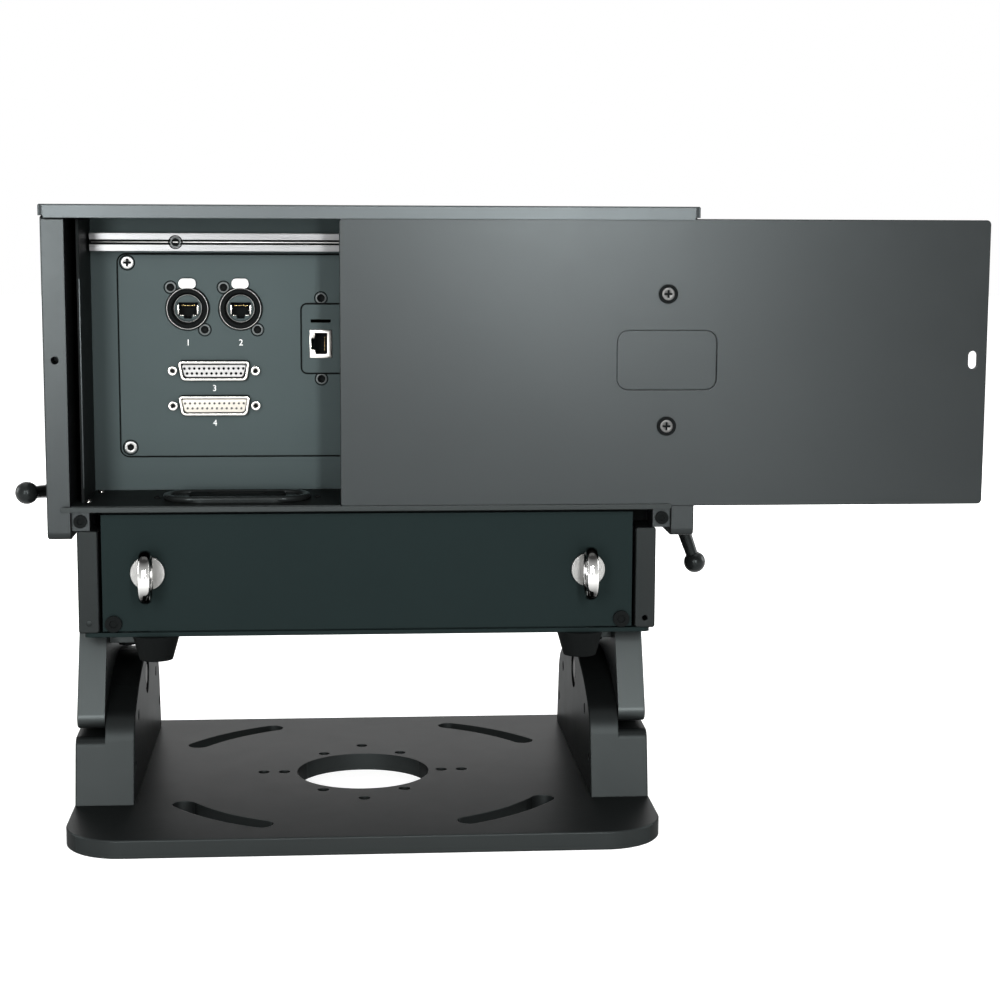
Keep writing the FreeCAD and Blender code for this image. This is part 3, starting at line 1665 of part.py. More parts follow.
def make_first_motor():
    front = beam_y - motor_front
    body = cylinder(scan_x, front - motor_len, beam_z, motor_r, motor_len, Y_AXIS)
    flange_y = beam_y - scan_rear - motor_flange_t
    flange = cylinder(scan_x, flange_y, beam_z, motor_flange_r, motor_flange_t, Y_AXIS)
    bore = y_hole(scan_x, beam_z, shaft_r + running, front - shaft_in - shaft_end_gap + past, front)
    return body.fuse(flange).removeSplitter().cut(bore)


def make_second_motor():
    front = scan_x + scan_inner
    body = cylinder(front, beam_y, scan_z, motor_r, motor_len, X_AXIS)
    flange = cylinder(scan_x + scan_right, beam_y, scan_z, motor_flange_r, motor_flange_t, X_AXIS)
    bore = x_hole(beam_y, scan_z, shaft_r + running, front, front + shaft_in + shaft_end_gap - past)
    return body.fuse(flange).removeSplitter().cut(bore)


def make_first_mirror():
    shaft = cylinder(scan_x, beam_y - motor_front - shaft_in, beam_z, shaft_r, shaft_len, Y_AXIS)
    plate = box(
        scan_x - plate_half, scan_x + plate_half, beam_y - plate_half, beam_y + plate_half + plate_end,
        beam_z - mirror_plate_t / 2, beam_z + mirror_plate_t / 2
    )
    plate.rotate(vec(scan_x, 0, beam_z), Y_AXIS, -45)
    return fuse(shaft, [plate])


def make_second_mirror():
    shaft_x = scan_x + scan_inner + shaft_in - shaft_len - plate_end
    shaft = cylinder(shaft_x, beam_y, scan_z, shaft_r, shaft_len + plate_end, X_AXIS)
    plate_x1 = shaft_x + plate_end
    plate = box(
        plate_x1 - second_plate_len, plate_x1, beam_y - plate_half, beam_y + plate_half,
        scan_z - mirror_plate_t / 2, scan_z + mirror_plate_t / 2
    )
    plate.rotate(vec(0, beam_y, scan_z), X_AXIS, 45)
    return fuse(shaft, [plate])


nodes["scanner_block"] = make_scanner_block()
nodes["scanner_motors"] = compound([make_first_motor(), make_second_motor()])
nodes["first_scan_mirror"] = make_first_mirror()
nodes["second_scan_mirror"] = make_second_mirror()


def make_driver_board():
    x0 = head_x + wall_in - board_in - board_w
    y0 = beam_y - board_d
    low = deck_top + board_up
    top = low + board_t
    added = []
    for x in (x0 + pillar_in, x0 + board_w - pillar_in):
        for y in (y0 + pillar_in, beam_y - pillar_in):
            added.append(cylinder(x, y, deck_top, pillar_r, board_up + weld, Z_AXIS))
    for dx, dy, w, d, h in chips:
        added.append(box(x0 + dx, x0 + dx + w, y0 + dy, y0 + dy + d, top - weld, top + h))
    return fuse(box(x0, x0 + board_w, y0, beam_y, low, top), added)


nodes["driver_board"] = make_driver_board()


# Upper front panel with the output window
def window_block(grow, y0, y1, r):
    half_w = window_w / 2 + grow
    half_h = window_h / 2 + grow
    return rounded_box(
        head_x - half_w, head_x + half_w, y0, y1, window_z - half_h, window_z + half_h, r, Y_AXIS
    )


front_panel_out = front_panel_y + front_panel_t
upper_front = box(
    head_x - wall_in, head_x + wall_in, front_panel_y, front_panel_out, side_top_z + front_panel_up, lid_z0
)
nodes["upper_front_panel"] = upper_front.cut(
    window_block(0, front_panel_y - past, front_panel_out + past, window_corner_r)
)
frame_out = front_panel_out + window_frame_t
window_frame = window_block(window_frame_w, front_panel_out, frame_out, window_frame_r)
window_frame = soften_face(window_frame, Y_AXIS, frame_out, soft_edge)
nodes["window_frame"] = window_frame.cut(
    window_block(-window_frame_in, front_panel_out - past, frame_out + past, window_frame_in)
)
nodes["window_glass"] = window_block(
    -gap, front_panel_out - window_glass_t, front_panel_out, window_corner_r - gap
)

os.makedirs("parts", exist_ok=True)
for name, shape in nodes.items():
    shape.exportStep("parts/" + name + ".step")
print(len(nodes), "nodes written")
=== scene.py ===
import math

import bmesh
import bpy
from mathutils import Matrix, Vector


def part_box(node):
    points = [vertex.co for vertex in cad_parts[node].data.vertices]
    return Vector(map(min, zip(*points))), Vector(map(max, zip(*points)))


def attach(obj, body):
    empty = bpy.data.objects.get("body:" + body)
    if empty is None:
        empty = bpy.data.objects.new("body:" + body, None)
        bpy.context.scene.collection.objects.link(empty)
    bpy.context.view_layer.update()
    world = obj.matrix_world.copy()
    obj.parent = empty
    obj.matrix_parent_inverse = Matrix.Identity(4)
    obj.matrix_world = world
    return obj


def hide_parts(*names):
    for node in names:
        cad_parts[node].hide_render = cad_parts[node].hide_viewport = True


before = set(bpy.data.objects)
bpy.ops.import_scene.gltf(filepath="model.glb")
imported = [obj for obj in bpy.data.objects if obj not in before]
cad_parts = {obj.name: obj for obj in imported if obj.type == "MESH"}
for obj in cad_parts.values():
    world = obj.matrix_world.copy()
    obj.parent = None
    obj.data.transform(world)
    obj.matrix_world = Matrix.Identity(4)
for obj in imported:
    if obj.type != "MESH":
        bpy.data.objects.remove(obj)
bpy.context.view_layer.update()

bl_info = {
    "name": "Laser Show Projector",
    "version": (1, 0, 0),
    "blender": (4, 5, 0),
    "location": "3D View > Sidebar > Projector",
    "description": "Finishes, connector details and a studio for a laser show projector",
    "category": "Object",
}

MM = 0.001
RGB = {"size": 3, "min": 0.0, "max": 1.0}


class ProjectorFinishes(bpy.types.PropertyGroup):
    """Colours of the projector's finishes"""

    housing: bpy.props.FloatVectorProperty(
        name="Housing", description="Dark grey satin finish of the walls, door and corner blocks",
        subtype="COLOR", default=(0.0262, 0.0292, 0.0297), **RGB,
    )
    lid: bpy.props.FloatVectorProperty(
        name="Lid", description="Lighter satin finish of the lid",
        subtype="COLOR", default=(0.045, 0.0505, 0.052), **RGB,
    )
    # Brackets and lower sides take this colour at a darker share as painted shade, and the arms at a lighter
    # share as painted light
    base: bpy.props.FloatVectorProperty(
        name="Base", description="Satin finish of the base plate and shelf, shared by the brackets and arms",
        subtype="COLOR", default=(0.0215, 0.0243, 0.0243), **RGB,
    )
    connector_panel: bpy.props.FloatVectorProperty(
        name="Connector panel", description="Grey coating of the connector plate and the panels round it",
        subtype="COLOR", default=(0.0345, 0.0445, 0.045), **RGB,
    )
    black_panel: bpy.props.FloatVectorProperty(
        name="Black panel", description="Near black coating of the lower and front panels",
        subtype="COLOR", default=(0.0086, 0.0132, 0.0132), **RGB,
    )
    bare_metal: bpy.props.FloatVectorProperty(
        name="Bare aluminium", description="Brushed aluminium of the rail and optics",
        subtype="COLOR", default=(0.138, 0.14, 0.142), **RGB,
    )
    chrome: bpy.props.FloatVectorProperty(
        name="Chrome", description="Polished chrome of the safety rings and fan guard",
        subtype="COLOR", default=(0.72, 0.72, 0.7), **RGB,
    )
    steel: bpy.props.FloatVectorProperty(
        name="Steel", description="Zinc plated steel of studs, plate screws and socket rings",
        subtype="COLOR", default=(0.19, 0.19, 0.186), **RGB,
    )
    nickel: bpy.props.FloatVectorProperty(
        name="Nickel", description="Nickel plated shells of the ports and the jack",
        subtype="COLOR", default=(0.44, 0.43, 0.405), **RGB,
    )
    gold: bpy.props.FloatVectorProperty(
        name="Gold", description="Gold plated contacts",
        subtype="COLOR", default=(0.75, 0.56, 0.25), **RGB,
    )
    black_part: bpy.props.FloatVectorProperty(
        name="Black parts", description="Black plastic, rubber and blackened steel",
        subtype="COLOR", default=(0.008, 0.009, 0.009), **RGB,
    )
    # This grey is a painted ring highlight on the small screws' black heads
    grey_plastic: bpy.props.FloatVectorProperty(
        name="Grey plastic", description="Grey outer band of the small screws' heads",
        subtype="COLOR", default=(0.07, 0.075, 0.075), **RGB,
    )
    pale_plastic: bpy.props.FloatVectorProperty(
        name="Pale plastic", description="Push tabs, numbers and the insert of the upper port",
        subtype="COLOR", default=(0.93, 0.93, 0.92), **RGB,
    )
    cream_plastic: bpy.props.FloatVectorProperty(
        name="Cream plastic", description="Insert of the lower port",
        subtype="COLOR", default=(0.6, 0.57, 0.51), **RGB,
    )
    board: bpy.props.FloatVectorProperty(
        name="Circuit board", description="Green lacquer of the driver board",
        subtype="COLOR", default=(0.02, 0.16, 0.06), **RGB,
    )


class ProjectorDetails(bpy.types.PropertyGroup):
    """Sizes of the small fittings"""

    small_screw: bpy.props.FloatProperty(
        name="Small screw", description="Radius of the ring round the socket and inset screws",
        unit="LENGTH", default=3.9 * MM,
    )
    plate_screw: bpy.props.FloatProperty(
        name="Plate screw", description="Radius of the ring round the connector plate's screws",
        unit="LENGTH", default=4.5 * MM,
    )
    rail_screw: bpy.props.FloatProperty(
        name="Rail screw", description="Radius of the ring round the rail's screws",
        unit="LENGTH", default=3.9 * MM,
    )
    shelf_screw: bpy.props.FloatProperty(
        name="Shelf screw", description="Head radius of the screws on the shelf and grommet",
        unit="LENGTH", default=1.9 * MM,
    )
    door_cup: bpy.props.FloatProperty(
        name="Door cup", description="Outer radius of the black cups round the door's screws",
        unit="LENGTH", default=5.3 * MM,
    )
    post: bpy.props.FloatProperty(
        name="Jack post", description="Radius of the ports' threaded posts", unit="LENGTH", default=2.6 * MM,
    )
    port_rim: bpy.props.FloatProperty(
        name="Port rim", description="Thickness of the ports' metal rim", unit="LENGTH", default=1.5 * MM,
    )
    # A black edge of painted shade stands for the shaded gap round the plates
    gasket: bpy.props.FloatProperty(
        name="Shade gap", description="Width of the black edge round the plates",
        unit="LENGTH", default=0.9 * MM,
    )
    numeral: bpy.props.FloatProperty(
        name="Numeral", description="Height of the connectors' numbers", unit="LENGTH", default=5.0 * MM,
    )
    ring_wire: bpy.props.FloatProperty(
        name="Ring wire", description="Radius of the safety rings' wire", unit="LENGTH", default=2.2 * MM,
    )
    guard_wire: bpy.props.FloatProperty(
        name="Guard wire", description="Radius of the fan guard's wire", unit="LENGTH", default=0.8 * MM,
    )


class ProjectorStudio(bpy.types.PropertyGroup):
    """Camera and soft studio light"""

    lens: bpy.props.FloatProperty(
        name="Lens", description="Focal length on a 36 mm sensor", unit="CAMERA", default=75.404, min=10.0,
    )
    camera_place: bpy.props.FloatVectorProperty(
        name="Camera place", description="Where the camera stands", subtype="TRANSLATION", size=3,
        default=(-0.01468, -1.20191, 0.33773),
    )
    camera_turn: bpy.props.FloatVectorProperty(
        name="Camera turn", description="Pitch down, yaw to the right and roll", subtype="EULER", size=3,
        default=(math.radians(7.91), math.radians(4.51), math.radians(0.261)),
    )
    key_power: bpy.props.FloatProperty(
        name="Key light", description="Power of the big soft light at the upper left",
        unit="POWER", default=18.5, min=0.0,
    )
    strip_power: bpy.props.FloatProperty(
        name="Strip light", description="Power of the upright strip beside the camera",
        unit="POWER", default=18.2, min=0.0,
    )
    low_power: bpy.props.FloatProperty(
        name="Low light", description="Power of the low light at the right",
        unit="POWER", default=1.0, min=0.0,
    )
    top_power: bpy.props.FloatProperty(
        name="Top light", description="Power of the overhead light", unit="POWER", default=6.0, min=0.0,
    )
    back_power: bpy.props.FloatProperty(
        name="Back light", description="Power of the light on the far side",
        unit="POWER", default=25.0, min=0.0,
    )
    side_power: bpy.props.FloatProperty(
        name="Side lights", description="Power of each light at the left and right",
        unit="POWER", default=12.0, min=0.0,
    )
    fill: bpy.props.FloatProperty(
        name="Fill", description="Level of the even light from all round", default=0.5, min=0.0, max=2.0,
    )
    floor: bpy.props.FloatVectorProperty(
        name="Floor", description="Pale floor", subtype="COLOR", default=(0.6, 0.6, 0.6), **RGB,
    )


# Materials: shared effects are node groups, and the shaders stay in each material
GRAIN_SCALE = 2600.0
PATCH_SCALE = 9.0
LINE_SCALE = 1800.0
LINE_STRETCH = (0.012, 1.0, 1.0)
SMEARS_FINER = 4.0
EDGE_GAIN = 4.0
# The next gain sets how fast painted shade grows on faces that turn up or down
PAINTED_SHADE_GAIN = 2.2
BUMP_DEPTH = 0.1 * MM
# Shares of a coat's own colour and gloss
# The edge share paints a coat's edges brighter, partly as wear and partly as a painted highlight
COAT_EDGE = 2.2
COAT_GLOSS_SPREAD = 0.04
# Shares of a metal's own colour and roughness
METAL_DARK, METAL_LIGHT = 0.84, 1.1
# The edge share paints a metal's edges brighter, partly as wear and partly as a painted highlight
METAL_EDGE = 1.25
# The painted shade share darkens metal faces that turn up or down
METAL_PAINTED_SHADE = 0.06
METAL_SMOOTH, METAL_ROUGH = 0.7, 1.3
METAL_BUMP = 0.05
MIRROR_SILVER = (0.9, 0.9, 0.9)
WINDOW_TINT = (0.86, 0.93, 0.95, 1.0)
WINDOW_ROUGHNESS = (0.01, 0.05)
WHITE = (1.0, 1.0, 1.0, 1.0)
# A Mix node's sockets when it mixes colours
MIX_FIRST, MIX_SECOND, MIX_RESULT = 6, 7, 2


def new_group(name, inputs, outputs):
    tree = bpy.data.node_groups.new(name, "ShaderNodeTree")
    for label, kind, value in inputs:
        socket = tree.interface.new_socket(label, in_out="INPUT", socket_type=kind)
        if value is not None:
            socket.default_value = value
    for label, kind in outputs:
        tree.interface.new_socket(label, in_out="OUTPUT", socket_type=kind)
    return tree, tree.nodes.new("NodeGroupInput"), tree.nodes.new("NodeGroupOutput")


def set_inputs(node, values):
    for label, value in values.items():
        node.inputs[label.replace("_", " ")].default_value = value
    return node


def add_node(tree, kind, settings=None, **values):
    node = tree.nodes.new(kind)
    for label, value in (settings or {}).items():
        setattr(node, label, value)
    return set_inputs(node, values)


def add_math(tree, operation, first, second, clamp=False):
    node = add_node(tree, "ShaderNodeMath", {"operation": operation, "use_clamp": clamp})
    for socket, value in zip(node.inputs, (first, second)):
        if isinstance(value, (int, float)):
            socket.default_value = value
        else:
            tree.links.new(value, socket)
    return node.outputs["Value"]


def map_range(tree, value, low, high, from_low=0.0, from_high=1.0):
    node = add_node(tree, "ShaderNodeMapRange", From_Min=from_low, From_Max=from_high,
                    To_Min=low, To_Max=high)
    tree.links.new(value, node.inputs["Value"])
    return node.outputs["Result"]


def grain_group():
    """Fine pits of a bead-blasted surface, broad uneven patches and smears in the gloss."""
    tree, inside, outside = new_group(
        "Satin grain",
        (("Vector", "NodeSocketVector", None), ("Grain Scale", "NodeSocketFloat", GRAIN_SCALE),
         ("Patch Scale", "NodeSocketFloat", PATCH_SCALE)),
        (("Grain", "NodeSocketFloat"), ("Patches", "NodeSocketFloat"), ("Smears", "NodeSocketFloat")),
    )
    fine = add_node(tree, "ShaderNodeTexNoise", Detail=2.0, Roughness=0.6)
    patch = add_node(tree, "ShaderNodeTexNoise", Detail=4.0, Roughness=0.55, Distortion=0.3)
    smear = add_node(tree, "ShaderNodeTexNoise", Detail=5.0, Roughness=0.7, Distortion=1.2)
    smear_scale = add_math(tree, "MULTIPLY", inside.outputs["Patch Scale"], SMEARS_FINER)
    for node, scale, label in (
        (fine, inside.outputs["Grain Scale"], "Grain"),
        (patch, inside.outputs["Patch Scale"], "Patches"),
        (smear, smear_scale, "Smears"),
    ):
        tree.links.new(inside.outputs["Vector"], node.inputs["Vector"])
        tree.links.new(scale, node.inputs["Scale"])
        tree.links.new(node.outputs["Fac"], outside.inputs[label])
    return tree


def brush_group():
    """Long fine lines left by brushing, along X."""
    tree, inside, outside = new_group(
        "Brushed lines",
        (("Vector", "NodeSocketVector", None), ("Line Scale", "NodeSocketFloat", LINE_SCALE)),
        (("Lines", "NodeSocketFloat"),),
    )
    stretch = add_node(tree, "ShaderNodeMapping", Scale=LINE_STRETCH)
    lines = add_node(tree, "ShaderNodeTexNoise", Detail=3.0, Roughness=0.6)
    tree.links.new(inside.outputs["Vector"], stretch.inputs["Vector"])
    tree.links.new(stretch.outputs["Vector"], lines.inputs["Vector"])
    tree.links.new(inside.outputs["Line Scale"], lines.inputs["Scale"])
    tree.links.new(lines.outputs["Fac"], outside.inputs["Lines"])
    return tree


def edge_group():
    """Softened normals, and a mask of the outer edges, where a finish is painted brighter: partly wear,
    partly a painted highlight.
    """
    tree, inside, outside = new_group(
        "Soft edges",
        (("Radius", "NodeSocketFloat", 0.6 * MM), ("Wear", "NodeSocketFloat", 0.5)),
        (("Edge", "NodeSocketFloat"), ("Normal", "NodeSocketVector")),
    )
    soft = add_node(tree, "ShaderNodeBevel", {"samples": 4})
    plain = tree.nodes.new("ShaderNodeNewGeometry")
    same = add_node(tree, "ShaderNodeVectorMath", {"operation": "DOT_PRODUCT"})
    tree.links.new(inside.outputs["Radius"], soft.inputs["Radius"])
    tree.links.new(soft.outputs["Normal"], same.inputs[0])
    tree.links.new(plain.outputs["True Normal"], same.inputs[1])
    turned = add_math(tree, "SUBTRACT", 1.0, same.outputs["Value"], clamp=True)
    strong = add_math(tree, "MULTIPLY", turned, EDGE_GAIN, clamp=True)
    worn_and_highlit = add_math(tree, "MULTIPLY", strong, inside.outputs["Wear"], clamp=True)
    tree.links.new(worn_and_highlit, outside.inputs["Edge"])
    tree.links.new(soft.outputs["Normal"], outside.inputs["Normal"])
    return tree


def turned_group():
    """How far a surface faces up or down, where metal is painted darker: a painted shade and reflection of a
    darker part of the room.
    """
    tree, inside, outside = new_group(
        "Turned up or down", (("Reach", "NodeSocketFloat", 0.35),), (("Turned", "NodeSocketFloat"),),
    )
    plain = tree.nodes.new("ShaderNodeNewGeometry")
    parts = tree.nodes.new("ShaderNodeSeparateXYZ")
    tree.links.new(plain.outputs["Normal"], parts.inputs["Vector"])
    upright = add_math(tree, "ABSOLUTE", parts.outputs["Z"], 0.0)
    beyond = add_math(tree, "SUBTRACT", upright, inside.outputs["Reach"], clamp=True)
    tree.links.new(add_math(tree, "MULTIPLY", beyond, PAINTED_SHADE_GAIN, clamp=True), outside.inputs["Turned"])
    return tree


def placed(tree, group, **values):
    return add_node(tree, "ShaderNodeGroup", {"node_tree": group}, **values)


def shades(tree, factor, dark, light):
    node = add_node(tree, "ShaderNodeMix", {"data_type": "RGBA"})
    tree.links.new(factor, node.inputs["Factor"])
    for number, colour in ((MIX_FIRST, dark), (MIX_SECOND, light)):
        if isinstance(colour, bpy.types.NodeSocket):
            tree.links.new(colour, node.inputs[number])
        else:
            node.inputs[number].default_value = (*colour, 1.0)
    return node.outputs[MIX_RESULT]


def scaled(colour, amount):
    return tuple(min(1.0, channel * amount) for channel in colour)


def start_material(name):
    material = bpy.data.materials.new(name)
    material.use_nodes = True
    tree = material.node_tree
    tree.nodes.clear()
    shader = tree.nodes.new("ShaderNodeBsdfPrincipled")
    output = tree.nodes.new("ShaderNodeOutputMaterial")
    tree.links.new(shader.outputs["BSDF"], output.inputs["Surface"])
    coords = tree.nodes.new("ShaderNodeTexCoord")
    return material, tree, shader, coords.outputs["Object"]


def bumped(tree, shader, height, strength, normal):
    bump = add_node(tree, "ShaderNodeBump", Strength=strength, Distance=BUMP_DEPTH)
    tree.links.new(height, bump.inputs["Height"])
    tree.links.new(normal, bump.inputs["Normal"])
    tree.links.new(bump.outputs["Normal"], shader.inputs["Normal"])


def coated(name, colour, share=1.0, roughness=0.42, specular=0.4, metallic=0.0, rim=1.0,
           grain_scale=GRAIN_SCALE, grain=0.08, edge_wear_and_highlight=0.5, uneven=0.08):
    """A coated or moulded surface: fine grain, uneven patches, smears in the gloss, and edges painted
    brighter as wear and as a highlight.
    """
    colour = scaled(colour, share)
    material, tree, shader, place = start_material(name)
    grains = placed(tree, GROUPS["grain"], Grain_Scale=grain_scale, Patch_Scale=PATCH_SCALE)
    edges = placed(tree, GROUPS["edge"], Wear=edge_wear_and_highlight)
    tree.links.new(place, grains.inputs["Vector"])
    dark, light = scaled(colour, 1.0 - uneven), scaled(colour, 1.0 + uneven)
    body = shades(tree, grains.outputs["Patches"], dark, light)
    # Edges painted brighter: partly wear, partly a painted highlight
    worn_and_highlit = shades(tree, edges.outputs["Edge"], body, scaled(colour, COAT_EDGE))
    tree.links.new(worn_and_highlit, shader.inputs["Base Color"])
    smooth, rough = roughness - COAT_GLOSS_SPREAD, roughness + COAT_GLOSS_SPREAD
    tree.links.new(map_range(tree, grains.outputs["Smears"], smooth, rough), shader.inputs["Roughness"])
    tint = (*scaled(colour, rim / max(colour)), 1.0)
    set_inputs(shader, {"Metallic": metallic, "Specular IOR Level": specular, "Specular Tint": tint})
    bumped(tree, shader, grains.outputs["Grain"], grain, edges.outputs["Normal"])
    return material


def bare_metal(name, colour, share=1.0, roughness=0.3, brushed=False, reach=0.35):
    """Plain metal, brushed along X or evenly finished, with edges painted brighter as wear and as a
    highlight, and faces that turn up or down painted darker as shade.
    """
    colour = scaled(colour, share)
    material, tree, shader, place = start_material(name)
    edges = placed(tree, GROUPS["edge"], Radius=0.3 * MM, Wear=0.3)
    if brushed:
        marks = placed(tree, GROUPS["brush"], Line_Scale=LINE_SCALE).outputs["Lines"]
    else:
        marks = placed(tree, GROUPS["grain"], Grain_Scale=1500.0, Patch_Scale=40.0).outputs["Smears"]
    tree.links.new(place, marks.node.inputs["Vector"])
    body = shades(tree, marks, scaled(colour, METAL_DARK), scaled(colour, METAL_LIGHT))
    # Edges painted brighter: partly wear, partly a painted highlight
    worn_and_highlit = shades(tree, edges.outputs["Edge"], body, scaled(colour, METAL_EDGE))
    # Faces that turn up or down are painted darker, as painted shade and reflection of a darker room
    turned = placed(tree, GROUPS["turned"], Reach=reach).outputs["Turned"]
    shaded = shades(tree, turned, worn_and_highlit, scaled(colour, METAL_PAINTED_SHADE))
    tree.links.new(shaded, shader.inputs["Base Color"])
    gloss = map_range(tree, marks, roughness * METAL_SMOOTH, roughness * METAL_ROUGH)
    tree.links.new(gloss, shader.inputs["Roughness"])
    set_inputs(shader, {"Metallic": 1.0})
    bumped(tree, shader, marks, METAL_BUMP, edges.outputs["Normal"])
    return material


def clear_window(name):
    """A clear coated pane with faint smears."""
    material, tree, shader, place = start_material(name)
    grains = placed(tree, GROUPS["grain"], Patch_Scale=14.0)
    tree.links.new(place, grains.inputs["Vector"])
    gloss = map_range(tree, grains.outputs["Smears"], *WINDOW_ROUGHNESS)
    tree.links.new(gloss, shader.inputs["Roughness"])
    set_inputs(shader, {"Base Color": WINDOW_TINT, "Transmission Weight": 1.0, "IOR": 1.5,
                        "Coat Weight": 0.3})
    return material


GROUPS = {}
MATERIALS = {}

NODE_FINISHES = {
    "housing": "corner_blocks left_wall right_wall door door_pull",
    "lid": "lid",
    "base": "base_plate shelf",
    # The bracket finish is the base coating darkened as painted shade, and the arm finish is it lightened as
    # painted light
    "bracket": "left_base_bracket right_base_bracket lower_left_side lower_right_side",
    "arm": "left_arm right_arm",
    "inner_black": "bay_liners",
    "black_panel": "lower_rear_panel lower_front_panel upper_front_panel window_frame bottom_cover",
    "connector_panel": "connector_plate inset_plate bay_back_panel",
    "brushed_aluminium": "silver_rail optics_base scanner_block laser_modules power_supply",
    "chrome": "left_ring right_ring",
    "satin_silver": "ring_bases",
    "steel": "lever_studs scanner_motors",
    "black_steel": "bracket_screws arm_screws housing_screws bay_screws pivot_bolts shelf_studs door_studs",
    "nickel": "control_out_port control_in_port side_jack",
    "rubber": "rubber_feet grommet_seal",
    "black_plastic": "fan_frame fan_rotor power_inlet network_sockets",
    "gloss_plastic": "left_clamp_lever right_clamp_lever cable_grommet",
    "pale_plastic": "left_push_tab right_push_tab",
    "board": "driver_board",
    "mirror": "first_scan_mirror second_scan_mirror combining_mirrors",
    "window": "window_glass",
}


class PROJECTOR_OT_finishes(bpy.types.Operator):
    """Makes the projector's finishes and puts them on its solid parts"""

    bl_idname = "projector.finishes"
    bl_label = "Finishes"

    def execute(self, context):
        colours = context.scene.projector_finishes
        GROUPS.update(grain=grain_group(), brush=brush_group(), edge=edge_group(), turned=turned_group())
        MATERIALS.update(
            housing=coated("Housing satin grey", colours.housing, roughness=0.31, metallic=0.8, rim=0.15),
            lid=coated("Lid satin grey", colours.lid, roughness=0.34, metallic=0.8, rim=0.15),
            base=coated("Base satin grey", colours.base, roughness=0.4, metallic=0.8, rim=0.18),
            # Darker copy of the base coating as painted shade, and a lighter copy for the arms as painted
            # light
            bracket=coated("Bracket dark grey", colours.base, share=0.65, roughness=0.4, metallic=0.8,
                           rim=0.15),
            arm=coated("Arm satin grey", colours.base, share=1.65, roughness=0.4, metallic=0.8, rim=0.18),
            inner_black=coated("Inner black", colours.black_part, share=0.6, roughness=0.5, specular=0.03,
                               edge_wear_and_highlight=0.3),
            connector_panel=coated("Connector panel grey", colours.connector_panel, roughness=0.46,
                                   metallic=0.4, specular=0.25, rim=0.2),
            black_panel=coated("Panel black", colours.black_panel, roughness=0.5, metallic=0.4,
                               specular=0.15, rim=0.1, edge_wear_and_highlight=0.2),
            brushed_aluminium=bare_metal("Brushed aluminium", colours.bare_metal, brushed=True),
            chrome=bare_metal("Polished chrome", colours.chrome, roughness=0.06, reach=0.12),
            satin_silver=bare_metal("Satin silver", colours.chrome, share=0.31, roughness=0.32),
            steel=bare_metal("Zinc plated steel", colours.steel, roughness=0.3),
            black_steel=coated("Blackened steel", colours.black_part, share=0.6, roughness=0.38,
                               specular=0.02, edge_wear_and_highlight=0.2),
            dull_steel=bare_metal("Dull steel", colours.steel, share=0.35, roughness=0.4),
            nickel=bare_metal("Nickel plate", colours.nickel, roughness=0.25),
            gold=bare_metal("Gold plate", colours.gold, roughness=0.25),
            rubber=coated("Moulded rubber", colours.black_part, share=0.5, roughness=0.7, specular=0.04,
                          grain=0.25, grain_scale=1400.0, edge_wear_and_highlight=0.1),
            black_plastic=coated("Moulded black plastic", colours.black_part, share=0.6, roughness=0.5,
                                 specular=0.015, grain=0.15, grain_scale=1800.0, edge_wear_and_highlight=0.15),
            gloss_plastic=coated("Lever plastic", colours.black_part, roughness=0.26, specular=0.14,
                                 grain=0.03, edge_wear_and_highlight=0.1),
            # Grey of the painted ring highlight on the small screws' heads
            grey_plastic=coated("Grey plastic", colours.grey_plastic, roughness=0.4, grain=0.05, edge_wear_and_highlight=0.2),
            pale_plastic=coated("Pale plastic", colours.pale_plastic, roughness=0.35, specular=0.5,
                                grain=0.03, edge_wear_and_highlight=0.0, uneven=0.03),
            port_plastic=coated("Port plastic", colours.pale_plastic, share=0.5, roughness=0.4,
                                specular=0.3, grain=0.03, edge_wear_and_highlight=0.0, uneven=0.03),
            cream_plastic=coated("Cream plastic", colours.cream_plastic, roughness=0.4, specular=0.5,
                                 grain=0.03, edge_wear_and_highlight=0.0, uneven=0.03),
            board=coated("Board lacquer", colours.board, roughness=0.3, edge_wear_and_highlight=0.1),
            mirror=bare_metal("Mirror", MIRROR_SILVER, roughness=0.03),
            window=clear_window("Coated window"),
        )
        for finish, names in NODE_FINISHES.items():
            for name in names.split():
                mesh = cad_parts[name].data
                mesh.materials.clear()
                mesh.materials.append(MATERIALS[finish])
        return {"FINISHED"}


# Modelling helpers: each works on one piece, with everything else deselected
SQUARE_ON = 0.9
SMOOTH_ANGLE = math.radians(35.0)
LEVEL_TURN = (math.pi / 2, 0.0, 0.0)
# How far a cutter stands out of what it cuts
PAST = 1.0 * MM


def only(item):
    bpy.ops.object.select_all(action="DESELECT")
    item.select_set(True)
    bpy.context.view_layer.objects.active = item


def halfway(low, high):
    return [(first + last) / 2 for first, last in zip(low, high)]


def middle_of(node):
    low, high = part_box(node)
    return halfway(low, high)


def add_shape(kind, **settings):
    """Adds a primitive by itself and puts its place, turn and scale into its mesh."""
    bpy.ops.object.select_all(action="DESELECT")
    getattr(bpy.ops.mesh, f"primitive_{kind}_add")(**settings)
    bpy.ops.object.transform_apply(location=True, rotation=True, scale=True)
    return bpy.context.active_object


def rod(x, front, z, radius, depth, sides=48):
    """A round bar along Y, its front face towards -Y."""
    return add_shape("cylinder", vertices=sides, radius=radius, depth=depth,
                     location=(x, front + depth / 2, z), rotation=LEVEL_TURN)


def block(low, high):
    spans = [last - first for first, last in zip(low, high)]
    return add_shape("cube", size=1.0, location=halfway(low, high), scale=spans)


def block_at(place, corners):
    """A block between two corners given in millimetres from a place."""
    return block(*([start + MM * away for start, away in zip(place, corner)] for corner in corners))


def edit(item):
    only(item)
    bpy.ops.object.mode_set(mode="EDIT")


def leave():
    bpy.ops.object.mode_set(mode="OBJECT")


def pick_all():
    bpy.ops.mesh.select_all(action="SELECT")


